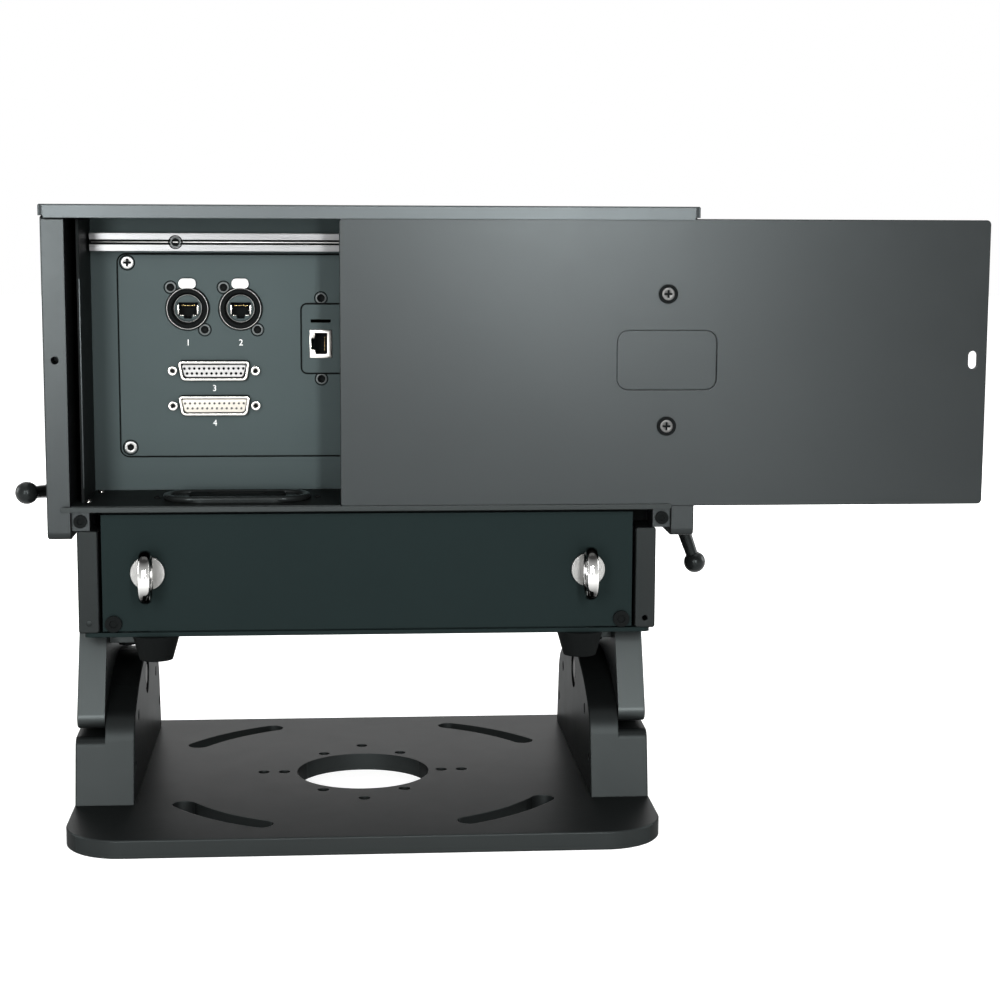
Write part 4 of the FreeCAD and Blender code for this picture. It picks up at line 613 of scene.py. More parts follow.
def pick_faces(item, wanted):
    bpy.ops.mesh.select_mode(type="FACE")
    bpy.ops.mesh.select_all(action="DESELECT")
    mesh = bmesh.from_edit_mesh(item.data)
    for face in mesh.faces:
        face.select_set(wanted(face.normal))
    bmesh.update_edit_mesh(item.data)


def pick_edges(item, wanted):
    bpy.ops.mesh.select_mode(type="EDGE")
    bpy.ops.mesh.select_all(action="DESELECT")
    mesh = bmesh.from_edit_mesh(item.data)
    for edge in mesh.edges:
        first, last = (vertex.co for vertex in edge.verts)
        edge.select_set(wanted((last - first).normalized()))
    bmesh.update_edit_mesh(item.data)


def step_front(item, *steps):
    """Insets the front face and pushes what is left along Y, inwards where the depth is positive."""
    edit(item)
    pick_faces(item, lambda normal: normal.y < -SQUARE_ON)
    for border, depth in steps:
        bpy.ops.mesh.inset(thickness=border)
        if depth:
            bpy.ops.mesh.extrude_region_move(TRANSFORM_OT_translate={"value": (0.0, depth, 0.0)})
    leave()


def round_corners(item, radius, segments=8, axis=1):
    """Rounds a block's four edges that run along one axis."""
    edit(item)
    pick_edges(item, lambda along: abs(along[axis]) > SQUARE_ON)
    bpy.ops.mesh.bevel(offset=radius, segments=segments)
    leave()


def hollow(item, wall, axis=1):
    """Opens a bar along one axis and leaves a wall round it."""
    edit(item)
    pick_faces(item, lambda normal: abs(normal[axis]) > SQUARE_ON)
    bpy.ops.mesh.inset(thickness=wall)
    bpy.ops.mesh.bridge_edge_loops()
    leave()


def apply_modifier(item, kind, **settings):
    only(item)
    modifier = item.modifiers.new(kind.title(), kind)
    for label, value in settings.items():
        setattr(modifier, label, value)
    bpy.ops.object.modifier_apply(modifier=modifier.name)


def cut(item, cutter):
    apply_modifier(item, "BOOLEAN", object=cutter, solver="EXACT")
    bpy.data.objects.remove(cutter)


def repeat(item, count, step):
    apply_modifier(item, "ARRAY", count=count, use_relative_offset=False, use_constant_offset=True,
                   constant_offset_displace=step)


def join(items):
    bpy.ops.object.select_all(action="DESELECT")
    for item in items:
        item.select_set(True)
    bpy.context.view_layer.objects.active = items[0]
    bpy.ops.object.join()
    return items[0]


def copied(item, name, shift):
    """A copy with its own mesh, moved by a shift."""
    only(item)
    bpy.ops.object.duplicate(linked=False)
    bpy.ops.transform.translate(value=shift)
    bpy.ops.object.transform_apply(location=True, rotation=False, scale=False)
    twin = bpy.context.active_object
    twin.name = name
    return twin


def numbered(item, name, shifts):
    """The piece as number 1 of its kind, with a numbered copy at each shift."""
    item.name = f"{name}_1"
    return [item] + [copied(item, f"{name}_{number}", shift) for number, shift in enumerate(shifts, 2)]


def dress(item, name, finishes):
    """Names a piece and gives it its finishes, listed in one string."""
    item.name = name
    item.data.name = name
    item.data.materials.clear()
    for finish in finishes.split():
        item.data.materials.append(MATERIALS[finish])


def finish_piece(item, name, finishes, edge, segments=2, angle=40.0):
    """Rounds a piece's sharp edges, smooths its shading and dresses it."""
    apply_modifier(item, "BEVEL", width=edge, segments=segments, limit_method="ANGLE",
                   angle_limit=math.radians(angle))
    only(item)
    bpy.ops.object.shade_smooth_by_angle(angle=SMOOTH_ANGLE)
    dress(item, name, finishes)
    return item


def paint(item, wanted):
    """Gives the faces whose centre passes a test the piece's second finish."""
    for face in item.data.polygons:
        if wanted(face.center):
            face.material_index = 1


def ride_all(items, body, node=None):
    for item in items:
        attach(item, body)
        if node:
            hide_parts(node)


# Places that the fittings share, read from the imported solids
CONN_LOW, CONN_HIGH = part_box("connector_plate")
INSET_LOW, INSET_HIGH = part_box("inset_plate")
RAIL_LOW, RAIL_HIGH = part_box("silver_rail")
RAIL_MIDDLE = halfway(RAIL_LOW, RAIL_HIGH)
JACK_LOW, JACK_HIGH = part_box("side_jack")
CONN_FACE = CONN_LOW[1]
TAB_MIDDLES = [middle_of("left_push_tab"), middle_of("right_push_tab")]
TAB_UP = 14.2 * MM
SOCKET_Z = TAB_MIDDLES[0][2] - TAB_UP
SOCKET_STEP = TAB_MIDDLES[1][0] - TAB_MIDDLES[0][0]
OUT_PORT = middle_of("control_out_port")
IN_PORT = middle_of("control_in_port")
PORT_DROP = IN_PORT[2] - OUT_PORT[2]
JACKSCREW_HALF = 23.52 * MM
# Number and spacing of the contacts in a network jack
JACK_CONTACTS = 8
JACK_PITCH = 1.03 * MM

# A sunk screw: lengths, then shares of its radius and of its head
SCREW_LENGTH = 2.2 * MM
SCREW_SINK = 0.8 * MM
SCREW_RISE = 0.7 * MM
SCREW_BRIGHT = 0.28 * MM
SCREW_BRIGHT_PAST = 0.05 * MM
HEX_DEPTH = 1.6 * MM
CROSS_DEPTH = 1.2 * MM
GROOVE_SHARE = 0.08
CROWN_SHARE = 0.24
HEX_SHARE = 0.58
CROSS_ARM, CROSS_HALF = 0.62, 0.15


def sunk_screw(x, front, z, radius, drive, finish, lip=0.15, band=0.0):
    """A screw in a round cup, with a hex or cross recess, its head bright from a band outward. The recess
    keeps the cup's black as painted shade, and a grey band is a painted ring highlight.
    """
    rim = lip * radius
    groove = GROOVE_SHARE * radius
    head = radius - rim - groove
    item = rod(x, front, z, radius, SCREW_LENGTH)
    step_front(item, (rim, SCREW_SINK), (groove, -SCREW_RISE), (CROWN_SHARE * head, 0.0))
    if drive == "hex":
        cut(item, rod(x, front - PAST, z, HEX_SHARE * head, PAST + HEX_DEPTH, sides=6))
    else:
        arm, half = CROSS_ARM * head, CROSS_HALF * head
        for dx, dz in ((arm, half), (half, arm)):
            cut(item, block((x - dx, front - PAST, z - dz), (x + dx, front + CROSS_DEPTH, z + dz)))
    finish_piece(item, "screw", f"black_steel {finish}", edge=0.1 * MM)
    # Faces behind this level, the recess among them, keep the black finish as painted shade
    level = front + SCREW_BRIGHT
    inner, outer = band * head, head + SCREW_BRIGHT_PAST
    paint(item, lambda at: at.y < level and inner <= math.hypot(at.x - x, at.z - z) < outer)
    return item


SCREW_PROUD = 0.4 * MM
SOCKET_HOLE_X, SOCKET_HOLE_Z = 9.5 * MM, 12.0 * MM
INSET_SCREW_IN, INSET_SCREW_OFF = 10.9 * MM, 3.6 * MM
PLATE_SCREW_IN, PLATE_SCREW_DOWN, PLATE_SCREW_UP = 5.2 * MM, 4.5 * MM, 5.0 * MM
RAIL_SCREW_IN = 47.8 * MM
# Share of the head from which the grey painted ring highlight starts
HIGHLIGHT_BAND = 0.7


class PROJECTOR_OT_bay_screws(bpy.types.Operator):
    """Models the connector bay's screws: small black ones, silver plate screws and the rail's screws"""

    bl_idname = "projector.bay_screws"
    bl_label = "Bay screws"

    def execute(self, context):
        sizes = context.scene.projector_details
        small = []
        for x, _, _ in TAB_MIDDLES:
            small += [(x - SOCKET_HOLE_X, SOCKET_Z + SOCKET_HOLE_Z),
                      (x + SOCKET_HOLE_X, SOCKET_Z - SOCKET_HOLE_Z)]
        for x in (INSET_LOW[0] + INSET_SCREW_IN, INSET_HIGH[0] - INSET_SCREW_IN):
            small += [(x, INSET_HIGH[2] + INSET_SCREW_OFF), (x, INSET_LOW[2] - INSET_SCREW_OFF)]
        plate_x = (CONN_LOW[0] + PLATE_SCREW_IN, CONN_HIGH[0] - PLATE_SCREW_IN)
        upper = [(x, CONN_HIGH[2] - PLATE_SCREW_DOWN) for x in plate_x]
        lower = [(x, CONN_LOW[2] + PLATE_SCREW_UP) for x in plate_x]
        rail_x = (RAIL_LOW[0] + RAIL_SCREW_IN, RAIL_MIDDLE[0], RAIL_HIGH[0] - RAIL_SCREW_IN)
        rail = [(x, RAIL_MIDDLE[2]) for x in rail_x]
        groups = (
            ("socket_screw", small, CONN_FACE, sizes.small_screw, "hex", "grey_plastic", HIGHLIGHT_BAND),
            ("upper_plate_screw", upper, CONN_FACE, sizes.plate_screw, "cross", "steel", 0.0),
            ("lower_plate_screw", lower, CONN_FACE, sizes.plate_screw, "hex", "steel", 0.0),
            ("rail_screw", rail, RAIL_LOW[1], sizes.rail_screw, "hex", "grey_plastic", HIGHLIGHT_BAND),
        )
        pieces = []
        for name, places, seat, radius, drive, finish, band in groups:
            first_x, first_z = places[0]
            first = sunk_screw(first_x, seat - SCREW_PROUD, first_z, radius, drive, finish, band=band)
            pieces += numbered(first, name, [(x - first_x, 0.0, z - first_z) for x, z in places[1:]])
        ride_all(pieces, "head", "bay_screws")
        return {"FINISHED"}


POST_OUT = 4.6 * MM
POST_DISH, POST_HOLE = 0.3 * MM, 3.0 * MM
# Depth past which the post's bore is painted black as shade
POST_SHADE_DEPTH = 4.0 * MM
# Shares of the post's radius
POST_LIP, POST_BORE = 0.42, 0.12


class PROJECTOR_OT_posts(bpy.types.Operator):
    """Models the threaded posts beside the control ports"""

    bl_idname = "projector.posts"
    bl_label = "Jack posts"

    def execute(self, context):
        radius = context.scene.projector_details.post
        x = OUT_PORT[0] - JACKSCREW_HALF
        z = OUT_PORT[2]
        post = rod(x, CONN_FACE - POST_OUT, z, radius, POST_OUT, sides=24)
        step_front(post, (POST_LIP * radius, POST_DISH), (POST_BORE * radius, POST_HOLE))
        finish_piece(post, "jack_post_1", "nickel black_steel", edge=0.2 * MM)
        # The bore's far part is painted black as shade
        deep = CONN_FACE - POST_SHADE_DEPTH
        paint(post, lambda at: at.y > deep and math.hypot(at.x - x, at.z - z) < radius / 2)
        across = 2 * JACKSCREW_HALF
        shifts = ((across, 0.0, 0.0), (0.0, 0.0, PORT_DROP), (across, 0.0, PORT_DROP))
        ride_all(numbered(post, "jack_post", shifts), "head", "bay_screws")
        return {"FINISHED"}


SOCKET_DEEP = 5.0 * MM
SOCKET_SIDES = 96
RING_OUT, RING_RADIUS, RING_DEPTH, RING_WALL = 0.2 * MM, 11.75 * MM, 0.5 * MM, 0.4 * MM
LINER_RADIUS, LINER_DEPTH, LINER_WALL = 7.9 * MM, 1.2 * MM, 0.3 * MM
FACE_RADIUS, FACE_DEPTH = 7.6 * MM, 0.5 * MM
# Corners of the small parts, in millimetres from the middle of a socket's floor
SOCKET_MOUTH = ((-5.9, -2.0, -4.2), (5.9, 1.0, 3.4))
SOCKET_KEYWAY = ((-2.2, -2.0, -5.8), (2.2, 1.0, 0.0))
SHIELD_SIDE = ((-5.85, -0.3, -3.4), (-5.1, 3.0, 2.0))
SHIELD_FOOT = ((-4.6, -0.3, -4.2), (-2.6, 3.0, -3.8))
SHIELD_SIDE_STEP, SHIELD_FOOT_STEP = 10.95 * MM, 7.2 * MM
SOCKET_CONTACT = ((-3.8, 4.5, 1.2), (-3.4, 8.0, 1.7))


class PROJECTOR_OT_sockets(bpy.types.Operator):
    """Adds the metal rings, grey faces, shield strips and contacts of the network sockets"""

    bl_idname = "projector.sockets"
    bl_label = "Network sockets"

    def execute(self, context):
        x = TAB_MIDDLES[0][0]
        z = SOCKET_Z
        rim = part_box("network_sockets")[0][1]
        floor = rim + SOCKET_DEEP
        place = (x, floor, z)
        pieces = []
        for name, front, radius, depth, wall in (
            ("left_socket_ring", rim - RING_OUT, RING_RADIUS, RING_DEPTH, RING_WALL),
            ("left_socket_liner", floor - LINER_DEPTH, LINER_RADIUS, LINER_DEPTH, LINER_WALL),
        ):
            ring = rod(x, front, z, radius, depth, sides=SOCKET_SIDES)
            hollow(ring, wall)
            pieces.append(finish_piece(ring, name, "steel", edge=0.1 * MM))
        face = rod(x, floor - FACE_DEPTH, z, FACE_RADIUS, FACE_DEPTH, sides=SOCKET_SIDES)
        for opening in (SOCKET_MOUTH, SOCKET_KEYWAY):
            cut(face, block_at(place, opening))
        pieces.append(finish_piece(face, "left_socket_face", "connector_panel", edge=0.08 * MM))
        strips = []
        for corners, step in ((SHIELD_SIDE, SHIELD_SIDE_STEP), (SHIELD_FOOT, SHIELD_FOOT_STEP)):
            strips.append(block_at(place, corners))
            repeat(strips[-1], 2, (step, 0.0, 0.0))
        pieces.append(finish_piece(join(strips), "left_socket_shield", "nickel", edge=0.1 * MM))
        contacts = block_at(place, SOCKET_CONTACT)
        repeat(contacts, JACK_CONTACTS, (JACK_PITCH, 0.0, 0.0))
        pieces.append(finish_piece(contacts, "left_socket_contacts", "gold", edge=0.08 * MM))
        for piece in list(pieces):
            pieces.append(copied(piece, piece.name.replace("left", "right"), (SOCKET_STEP, 0.0, 0.0)))
        ride_all(pieces, "head")
        return {"FINISHED"}


SHELL_HALF_W = 20.5 * MM
SHELL_HALF_H = 5.6 * MM
SHELL_TAPER = 1.9 * MM
SHELL_ROUND = 2.4 * MM
SHELL_OUT = 5.0 * MM
SHELL_BACK = 4.0 * MM
CONTACT_PITCH = 2.77 * MM
CONTACT_LENGTH = 4.0 * MM
CONTACT_SIDES = 10
UPPER_ROW, LOWER_ROW = 13, 12
ROW_HALF = 1.42 * MM
HOLE_RADIUS, PIN_RADIUS = 0.75 * MM, 0.65 * MM
# Each insert's gap inside the rim, and how far it and the pins lie behind the shell's edge
OUT_GAP, OUT_SINK = 0.7 * MM, 0.3 * MM
IN_GAP, IN_SINK, PIN_SINK = 0.35 * MM, 1.8 * MM, 0.7 * MM
# Where the upper insert's holes are painted black as shade
HOLE_SHADE, HOLE_SHADE_HALF = 0.6 * MM, 2.5 * MM


def port_plate(z, shrink, front, back):
    """A plate with a port's D outline, wider above than below, with round corners."""
    x = OUT_PORT[0]
    half_w = SHELL_HALF_W - shrink
    half_h = SHELL_HALF_H - shrink
    item = block((x - half_w, front, z - half_h), (x + half_w, back, z + half_h))
    edit(item)
    pick_faces(item, lambda normal: normal.z < -SQUARE_ON)
    narrow = (half_w - SHELL_TAPER) / half_w
    bpy.ops.transform.resize(value=(narrow, 1.0, 1.0), center_override=(x, front, z))
    leave()
    round_corners(item, SHELL_ROUND - shrink / 2, segments=6)
    return item


def contact_rows(z, front, radius):
    """Two rows of round bars at the contacts' pitch."""
    rows = []
    for count, dz in ((UPPER_ROW, ROW_HALF), (LOWER_ROW, -ROW_HALF)):
        x = OUT_PORT[0] - CONTACT_PITCH * (count - 1) / 2
        row = rod(x, front, z + dz, radius, CONTACT_LENGTH, CONTACT_SIDES)
        repeat(row, count, (CONTACT_PITCH, 0.0, 0.0))
        rows.append(row)
    return rows


class PROJECTOR_OT_ports(bpy.types.Operator):
    """Models the two 25-way ports: metal rims, inserts, contact holes and pins"""

    bl_idname = "projector.ports"
    bl_label = "Control ports"

    def execute(self, context):
        rim = context.scene.projector_details.port_rim
        tip = CONN_FACE - SHELL_OUT
        back = CONN_FACE + SHELL_BACK
        z = OUT_PORT[2]
        shell = port_plate(z, 0.0, tip, back)
        hollow(shell, rim)
        finish_piece(shell, "control_out_shell", "nickel", edge=0.35 * MM, segments=3)
        insert = port_plate(z, rim + OUT_GAP, tip + OUT_SINK, back)
        for row in contact_rows(z, tip - PAST, HOLE_RADIUS):
            cut(insert, row)
        finish_piece(insert, "control_out_insert", "port_plastic black_plastic", edge=0.2 * MM, angle=60.0)
        # The holes' walls past the lip are painted black as shade
        near, far = tip + HOLE_SHADE, back - PAST
        paint(insert, lambda at: near < at.y < far and abs(at.z - z) < HOLE_SHADE_HALF)
        ride_all([shell, insert], "head", "control_out_port")
        lower_shell = copied(shell, "control_in_shell", (0.0, 0.0, PORT_DROP))
        lower_z = IN_PORT[2]
        lower_insert = port_plate(lower_z, rim + IN_GAP, tip + IN_SINK, back)
        finish_piece(lower_insert, "control_in_insert", "cream_plastic", edge=0.2 * MM)
        pins = join(contact_rows(lower_z, tip + PIN_SINK, PIN_RADIUS))
        finish_piece(pins, "control_in_pins", "dull_steel", edge=0.2 * MM)
        ride_all([lower_shell, lower_insert, pins], "head", "control_in_port")
        return {"FINISHED"}


JACK_WALL = 2.7 * MM
JACK_DEEP = 11.0 * MM
JACK_FRAME = 1.2 * MM
CAVITY_IN, CAVITY_SINK = 0.7 * MM, 0.5 * MM
MOUTH_LEFT, MOUTH_UNDER, MOUTH_OVER = 3.0 * MM, 2.3 * MM, 1.8 * MM
NOTCH_LEFT, NOTCH_FOOT, NOTCH_TOP = 0.9 * MM, 11.4 * MM, 4.9 * MM
# Corners of the lowest contact, in millimetres from the foot of the mouth's right wall
JACK_CONTACT = ((-1.6, 3.0, 4.25), (-1.2, 10.0, 4.65))


class PROJECTOR_OT_side_jack(bpy.types.Operator):
    """Models the upright jack: a metal frame, a black cavity with a latch notch and eight contacts"""

    bl_idname = "projector.side_jack"
    bl_label = "Side jack"

    def execute(self, context):
        x0, front, z0 = JACK_LOW
        x1, back, z1 = JACK_HIGH
        deep = front + JACK_DEEP
        openings = (
            ((x0 + MOUTH_LEFT, front - PAST, z0 + MOUTH_UNDER), (x1 - JACK_WALL, deep, z1 - MOUTH_OVER)),
            ((x0 + NOTCH_LEFT, front - PAST, z1 - NOTCH_FOOT), (x0 + JACK_WALL + PAST, deep, z1 - NOTCH_TOP)),
        )
        frame_piece = block((x0, front, z0), (x1, front + JACK_FRAME, z1))
        cavity = block((x0 + CAVITY_IN, front + CAVITY_SINK, z0 + CAVITY_IN),
                       (x1 - CAVITY_IN, back, z1 - CAVITY_IN))
        pieces = []
        for item, name, finish in (
            (frame_piece, "side_jack_frame", "nickel"), (cavity, "side_jack_cavity", "black_plastic"),
        ):
            for low, high in openings:
                cut(item, block(low, high))
            pieces.append(finish_piece(item, name, finish, edge=0.12 * MM))
        contacts = block_at((x1 - JACK_WALL, front, z0), JACK_CONTACT)
        repeat(contacts, JACK_CONTACTS, (0.0, 0.0, JACK_PITCH))
        pieces.append(finish_piece(contacts, "side_jack_contacts", "gold", edge=0.08 * MM))
        ride_all(pieces, "head", "side_jack")
        return {"FINISHED"}


CONN_CORNER, INSET_CORNER = 4.5 * MM, 3.0 * MM
# Share of a plate's thickness that its black edge covers, painted shade for the gap round it
SHADE_EDGE_SHARE = 0.6


class PROJECTOR_OT_gaskets(bpy.types.Operator):
    """Models the thin black edges round the connector plate and the inset plate, painted shade that stands
    for the shaded gap round each plate
    """

    bl_idname = "projector.gaskets"
    bl_label = "Plate seals"

    def execute(self, context):
        width = context.scene.projector_details.gasket
        pieces = []
        for name, low, high, corner in (
            ("connector_plate_seal", CONN_LOW, CONN_HIGH, CONN_CORNER),
            ("inset_plate_seal", INSET_LOW, INSET_HIGH, INSET_CORNER),
        ):
            front = high[1] - SHADE_EDGE_SHARE * (high[1] - low[1])
            dark_strip = block((low[0] - width, front, low[2] - width), (high[0] + width, high[1], high[2] + width))
            round_corners(dark_strip, corner + width)
            hollow(dark_strip, width)
            pieces.append(finish_piece(dark_strip, name, "rubber", edge=0.15 * MM))
        ride_all(pieces, "head")
        return {"FINISHED"}


DOOR_SCREW_PROUD = 0.3 * MM
DOOR_CUP_LIP = 0.26


class PROJECTOR_OT_door_screws(bpy.types.Operator):
    """Models the door's two screws in their black cups"""

    bl_idname = "projector.door_screws"
    bl_label = "Door screws"

    def execute(self, context):
        outer = context.scene.projector_details.door_cup
        low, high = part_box("door_studs")
        x = (low[0] + high[0]) / 2
        head = (high[0] - low[0]) / 2
        upper = sunk_screw(x, low[1] - DOOR_SCREW_PROUD, high[2] - head, outer, "cross", "dull_steel",
                           lip=DOOR_CUP_LIP)
        upper.name = "upper_door_screw"
        lower = copied(upper, "lower_door_screw", (0.0, 0.0, low[2] - high[2] + 2 * head))
        ride_all([upper, lower], "door")
        return {"FINISHED"}


SHELF_SCREW_IN = 12.5 * MM
SHELF_SCREW_REAR = 50.5 * MM
SHELF_SCREW_STEP = (2.5 * MM, 42.0 * MM)
GROMMET_SCREW_HALF = 44.8 * MM
# Shares of the head's radius
HEAD_HEIGHT = 0.6
HEAD_CROSS_ARM, HEAD_CROSS_HALF, HEAD_CROSS_FLOOR = 0.65, 0.14, 0.35


class PROJECTOR_OT_shelf_screws(bpy.types.Operator):
    """Models the small round-headed screws on the shelf and on the ends of the cable grommet"""

    bl_idname = "projector.shelf_screws"
    bl_label = "Shelf screws"

    def execute(self, context):
        radius = context.scene.projector_details.shelf_screw
        shelf_low, shelf_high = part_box("shelf")
        top = shelf_high[2]
        x = shelf_low[0] + SHELF_SCREW_IN
        y = shelf_high[1] - SHELF_SCREW_REAR
        seat = (x, y, top)
        head = add_shape("uv_sphere", segments=24, ring_count=12, radius=radius, location=seat)
        edit(head)
        pick_all()
        bpy.ops.transform.resize(value=(1.0, 1.0, HEAD_HEIGHT), center_override=seat)
        pick_all()
        bpy.ops.mesh.bisect(plane_co=seat, plane_no=(0.0, 0.0, -1.0), clear_outer=True, use_fill=True)
        leave()
        arm, half = HEAD_CROSS_ARM * radius, HEAD_CROSS_HALF * radius
        for dx, dy in ((arm, half), (half, arm)):
            cut(head, block((x - dx, y - dy, top + HEAD_CROSS_FLOOR * radius),
                            (x + dx, y + dy, top + radius)))
        finish_piece(head, "shelf_screw_1", "nickel", edge=0.08 * MM)
        span = shelf_high[0] - shelf_low[0] - 2 * SHELF_SCREW_IN
        step_x, step_y = SHELF_SCREW_STEP
        shifts = ((step_x, step_y, 0.0), (span, 0.0, 0.0), (span - step_x, step_y, 0.0))
        pieces = numbered(head, "shelf_screw", shifts)
        grommet_x, grommet_y, _ = middle_of("cable_grommet")
        ends = []
        for number, half_way in enumerate((-GROMMET_SCREW_HALF, GROMMET_SCREW_HALF), 1):
            name = f"grommet_screw_{number}"
            ends.append(copied(head, name, (grommet_x + half_way - x, grommet_y - y, 0.0)))
            dress(ends[-1], name, "black_steel")
        ride_all(pieces, "head")
        ride_all(ends, "head", "bay_screws")
        return {"FINISHED"}


RIM_FORWARD = 5.5 * MM
RIM_HALF_W, RIM_HALF_D = 41.0 * MM, 17.0 * MM
RIM_UP, RIM_WALL = 3.4 * MM, 4.4 * MM
# Share of the rim's half depth
RIM_ROUND = 0.97


class PROJECTOR_OT_grommet_rim(bpy.types.Operator):
    """Models the cable grommet's rounded glossy rim"""

    bl_idname = "projector.grommet_rim"
    bl_label = "Grommet rim"

    def execute(self, context):
        x, y, _ = middle_of("cable_grommet")
        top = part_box("shelf")[1][2]
        y -= RIM_FORWARD
        rim = block((x - RIM_HALF_W, y - RIM_HALF_D, top), (x + RIM_HALF_W, y + RIM_HALF_D, top + RIM_UP))
        round_corners(rim, RIM_ROUND * RIM_HALF_D, segments=20, axis=2)
        hollow(rim, RIM_WALL, axis=2)
        finish_piece(rim, "grommet_rim", "gloss_plastic", edge=1.5 * MM, segments=5)
        ride_all([rim], "head")
        return {"FINISHED"}


GROOVE_SINK, GROOVE_HALF, GROOVE_DEPTH = 0.5 * MM, 1.4 * MM, 1.4 * MM
RIDGE_IN, RIDGE_UP, RIDGE_BRIGHT = 1.05 * MM, 0.4 * MM, 0.3 * MM
EDGE_LEFT, EDGE_RIGHT = 5.6 * MM, 6.4 * MM
EDGE_OUT, EDGE_IN = 0.3 * MM, 0.5 * MM
EDGE_FOOT, EDGE_TOP = 8.0 * MM, 32.0 * MM
FOAM_LEFT, FOAM_RIGHT, FOAM_END = 0.4 * MM, 12.0 * MM, 24.0 * MM
PANEL_FOAM_IN, PANEL_FOAM_FRONT, PANEL_FOAM_BACK = 1.0 * MM, 2.5 * MM, 14.0 * MM
PLUG_OUT, PLUG_UP, PLUG_RADIUS, PLUG_LENGTH = 0.05 * MM, 5.5 * MM, 1.7 * MM, 3.0 * MM


class PROJECTOR_OT_strips(bpy.types.Operator):
    """Models the rail's strip, the liner's bright edge, the lower housing's foam and a small column plug"""

    bl_idname = "projector.strips"
    bl_label = "Strips"

    def execute(self, context):
        middle = RAIL_MIDDLE[2]
        front = RAIL_LOW[1] + GROOVE_SINK
        groove = block((RAIL_LOW[0], front, middle - GROOVE_HALF),
                       (RAIL_HIGH[0], front + GROOVE_DEPTH, middle + GROOVE_HALF))
        step_front(groove, (RIDGE_IN, -RIDGE_UP))
        finish_piece(groove, "rail_strip", "black_steel steel", edge=0.06 * MM)
        paint(groove, lambda at: at.y < front - RIDGE_BRIGHT)
        low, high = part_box("bay_liners")
        edge = block((low[0] + EDGE_LEFT, low[1] - EDGE_OUT, low[2] + EDGE_FOOT),
                     (low[0] + EDGE_RIGHT, low[1] + EDGE_IN, high[2] - EDGE_TOP))
        finish_piece(edge, "liner_edge", "lid", edge=0.15 * MM)
        side_low, side_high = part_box("lower_left_side")
        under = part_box("shelf")[0][2]
        foam = block((side_low[0] + FOAM_LEFT, side_low[1] + FOAM_END, side_high[2]),
                     (side_low[0] + FOAM_RIGHT, side_high[1] - FOAM_END, under))
        finish_piece(foam, "left_foam", "rubber", edge=0.8 * MM)
        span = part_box("lower_right_side")[1][0] - side_low[0] - FOAM_LEFT - FOAM_RIGHT
        twin = copied(foam, "right_foam", (span, 0.0, 0.0))
        panel_low, panel_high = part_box("lower_rear_panel")
        dark_strip = block((panel_low[0] + PANEL_FOAM_IN, panel_low[1] + PANEL_FOAM_FRONT, panel_high[2]),
                     (panel_high[0] - PANEL_FOAM_IN, panel_low[1] + PANEL_FOAM_BACK, under))
        finish_piece(dark_strip, "panel_foam", "rubber", edge=0.3 * MM)
        plug_x = (side_low[0] + side_high[0]) / 2
        plug = rod(plug_x, side_low[1] - PLUG_OUT, side_low[2] + PLUG_UP, PLUG_RADIUS, PLUG_LENGTH)
        # The plug takes the columns' finish, the base coating darkened as painted shade
        finish_piece(plug, "column_plug", "bracket", edge=0.04 * MM)
        ride_all([groove, edge, plug], "head")
        ride_all([foam, twin, dark_strip], "head")
        return {"FINISHED"}


# How much wider than round the rings' wire is
WIRE_WIDER = 1.5
LOOP_SMOOTH_ANGLE = math.radians(60.0)


class PROJECTOR_OT_rings(bpy.types.Operator):
    """Models the safety rings as smooth oval loops"""

    bl_idname = "projector.rings"
    bl_label = "Safety rings"

    def execute(self, context):
        low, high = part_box("left_ring")
        place = middle_of("left_ring")
        half_d = (high[1] - low[1]) / 2
        half_h = (high[2] - low[2]) / 2
        wire = context.scene.projector_details.ring_wire
        loop = add_shape("torus", major_segments=96, minor_segments=24, major_radius=half_h - wire,
                         minor_radius=wire, location=place, rotation=(0.0, math.pi / 2, 0.0))
        edit(loop)
        pick_all()
        bpy.ops.transform.resize(value=(WIRE_WIDER, half_d / half_h, 1.0), center_override=place)
        leave()
        only(loop)
        bpy.ops.object.shade_smooth_by_angle(angle=LOOP_SMOOTH_ANGLE)
        dress(loop, "left_safety_loop", "chrome")
        twin = copied(loop, "right_safety_loop", (middle_of("right_ring")[0] - place[0], 0.0, 0.0))
        ride_all([loop], "left_ring", "left_ring")
        ride_all([twin], "right_ring", "right_ring")
        return {"FINISHED"}


# Share of a tab's height
TAB_ROUND = 0.46


class PROJECTOR_OT_push_tabs(bpy.types.Operator):
    """Models the sockets' push tabs as smooth oval buttons"""

    bl_idname = "projector.push_tabs"
    bl_label = "Push tabs"

    def execute(self, context):
        low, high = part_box("left_push_tab")
        tab = block(low, high)
        round_corners(tab, TAB_ROUND * (high[2] - low[2]), segments=10)
        finish_piece(tab, "left_tab_button", "pale_plastic", edge=0.7 * MM, segments=4)
        twin = copied(tab, "right_tab_button", (SOCKET_STEP, 0.0, 0.0))
        ride_all([tab], "left_push_tab", "left_push_tab")
        ride_all([twin], "right_push_tab", "right_push_tab")
        return {"FINISHED"}


SOCKET_NUMBER_DOWN, PORT_NUMBER_DOWN = 19.5 * MM, 10.3 * MM
NUMBER_PROUD, NUMBER_DEPTH = 0.02 * MM, 0.03 * MM


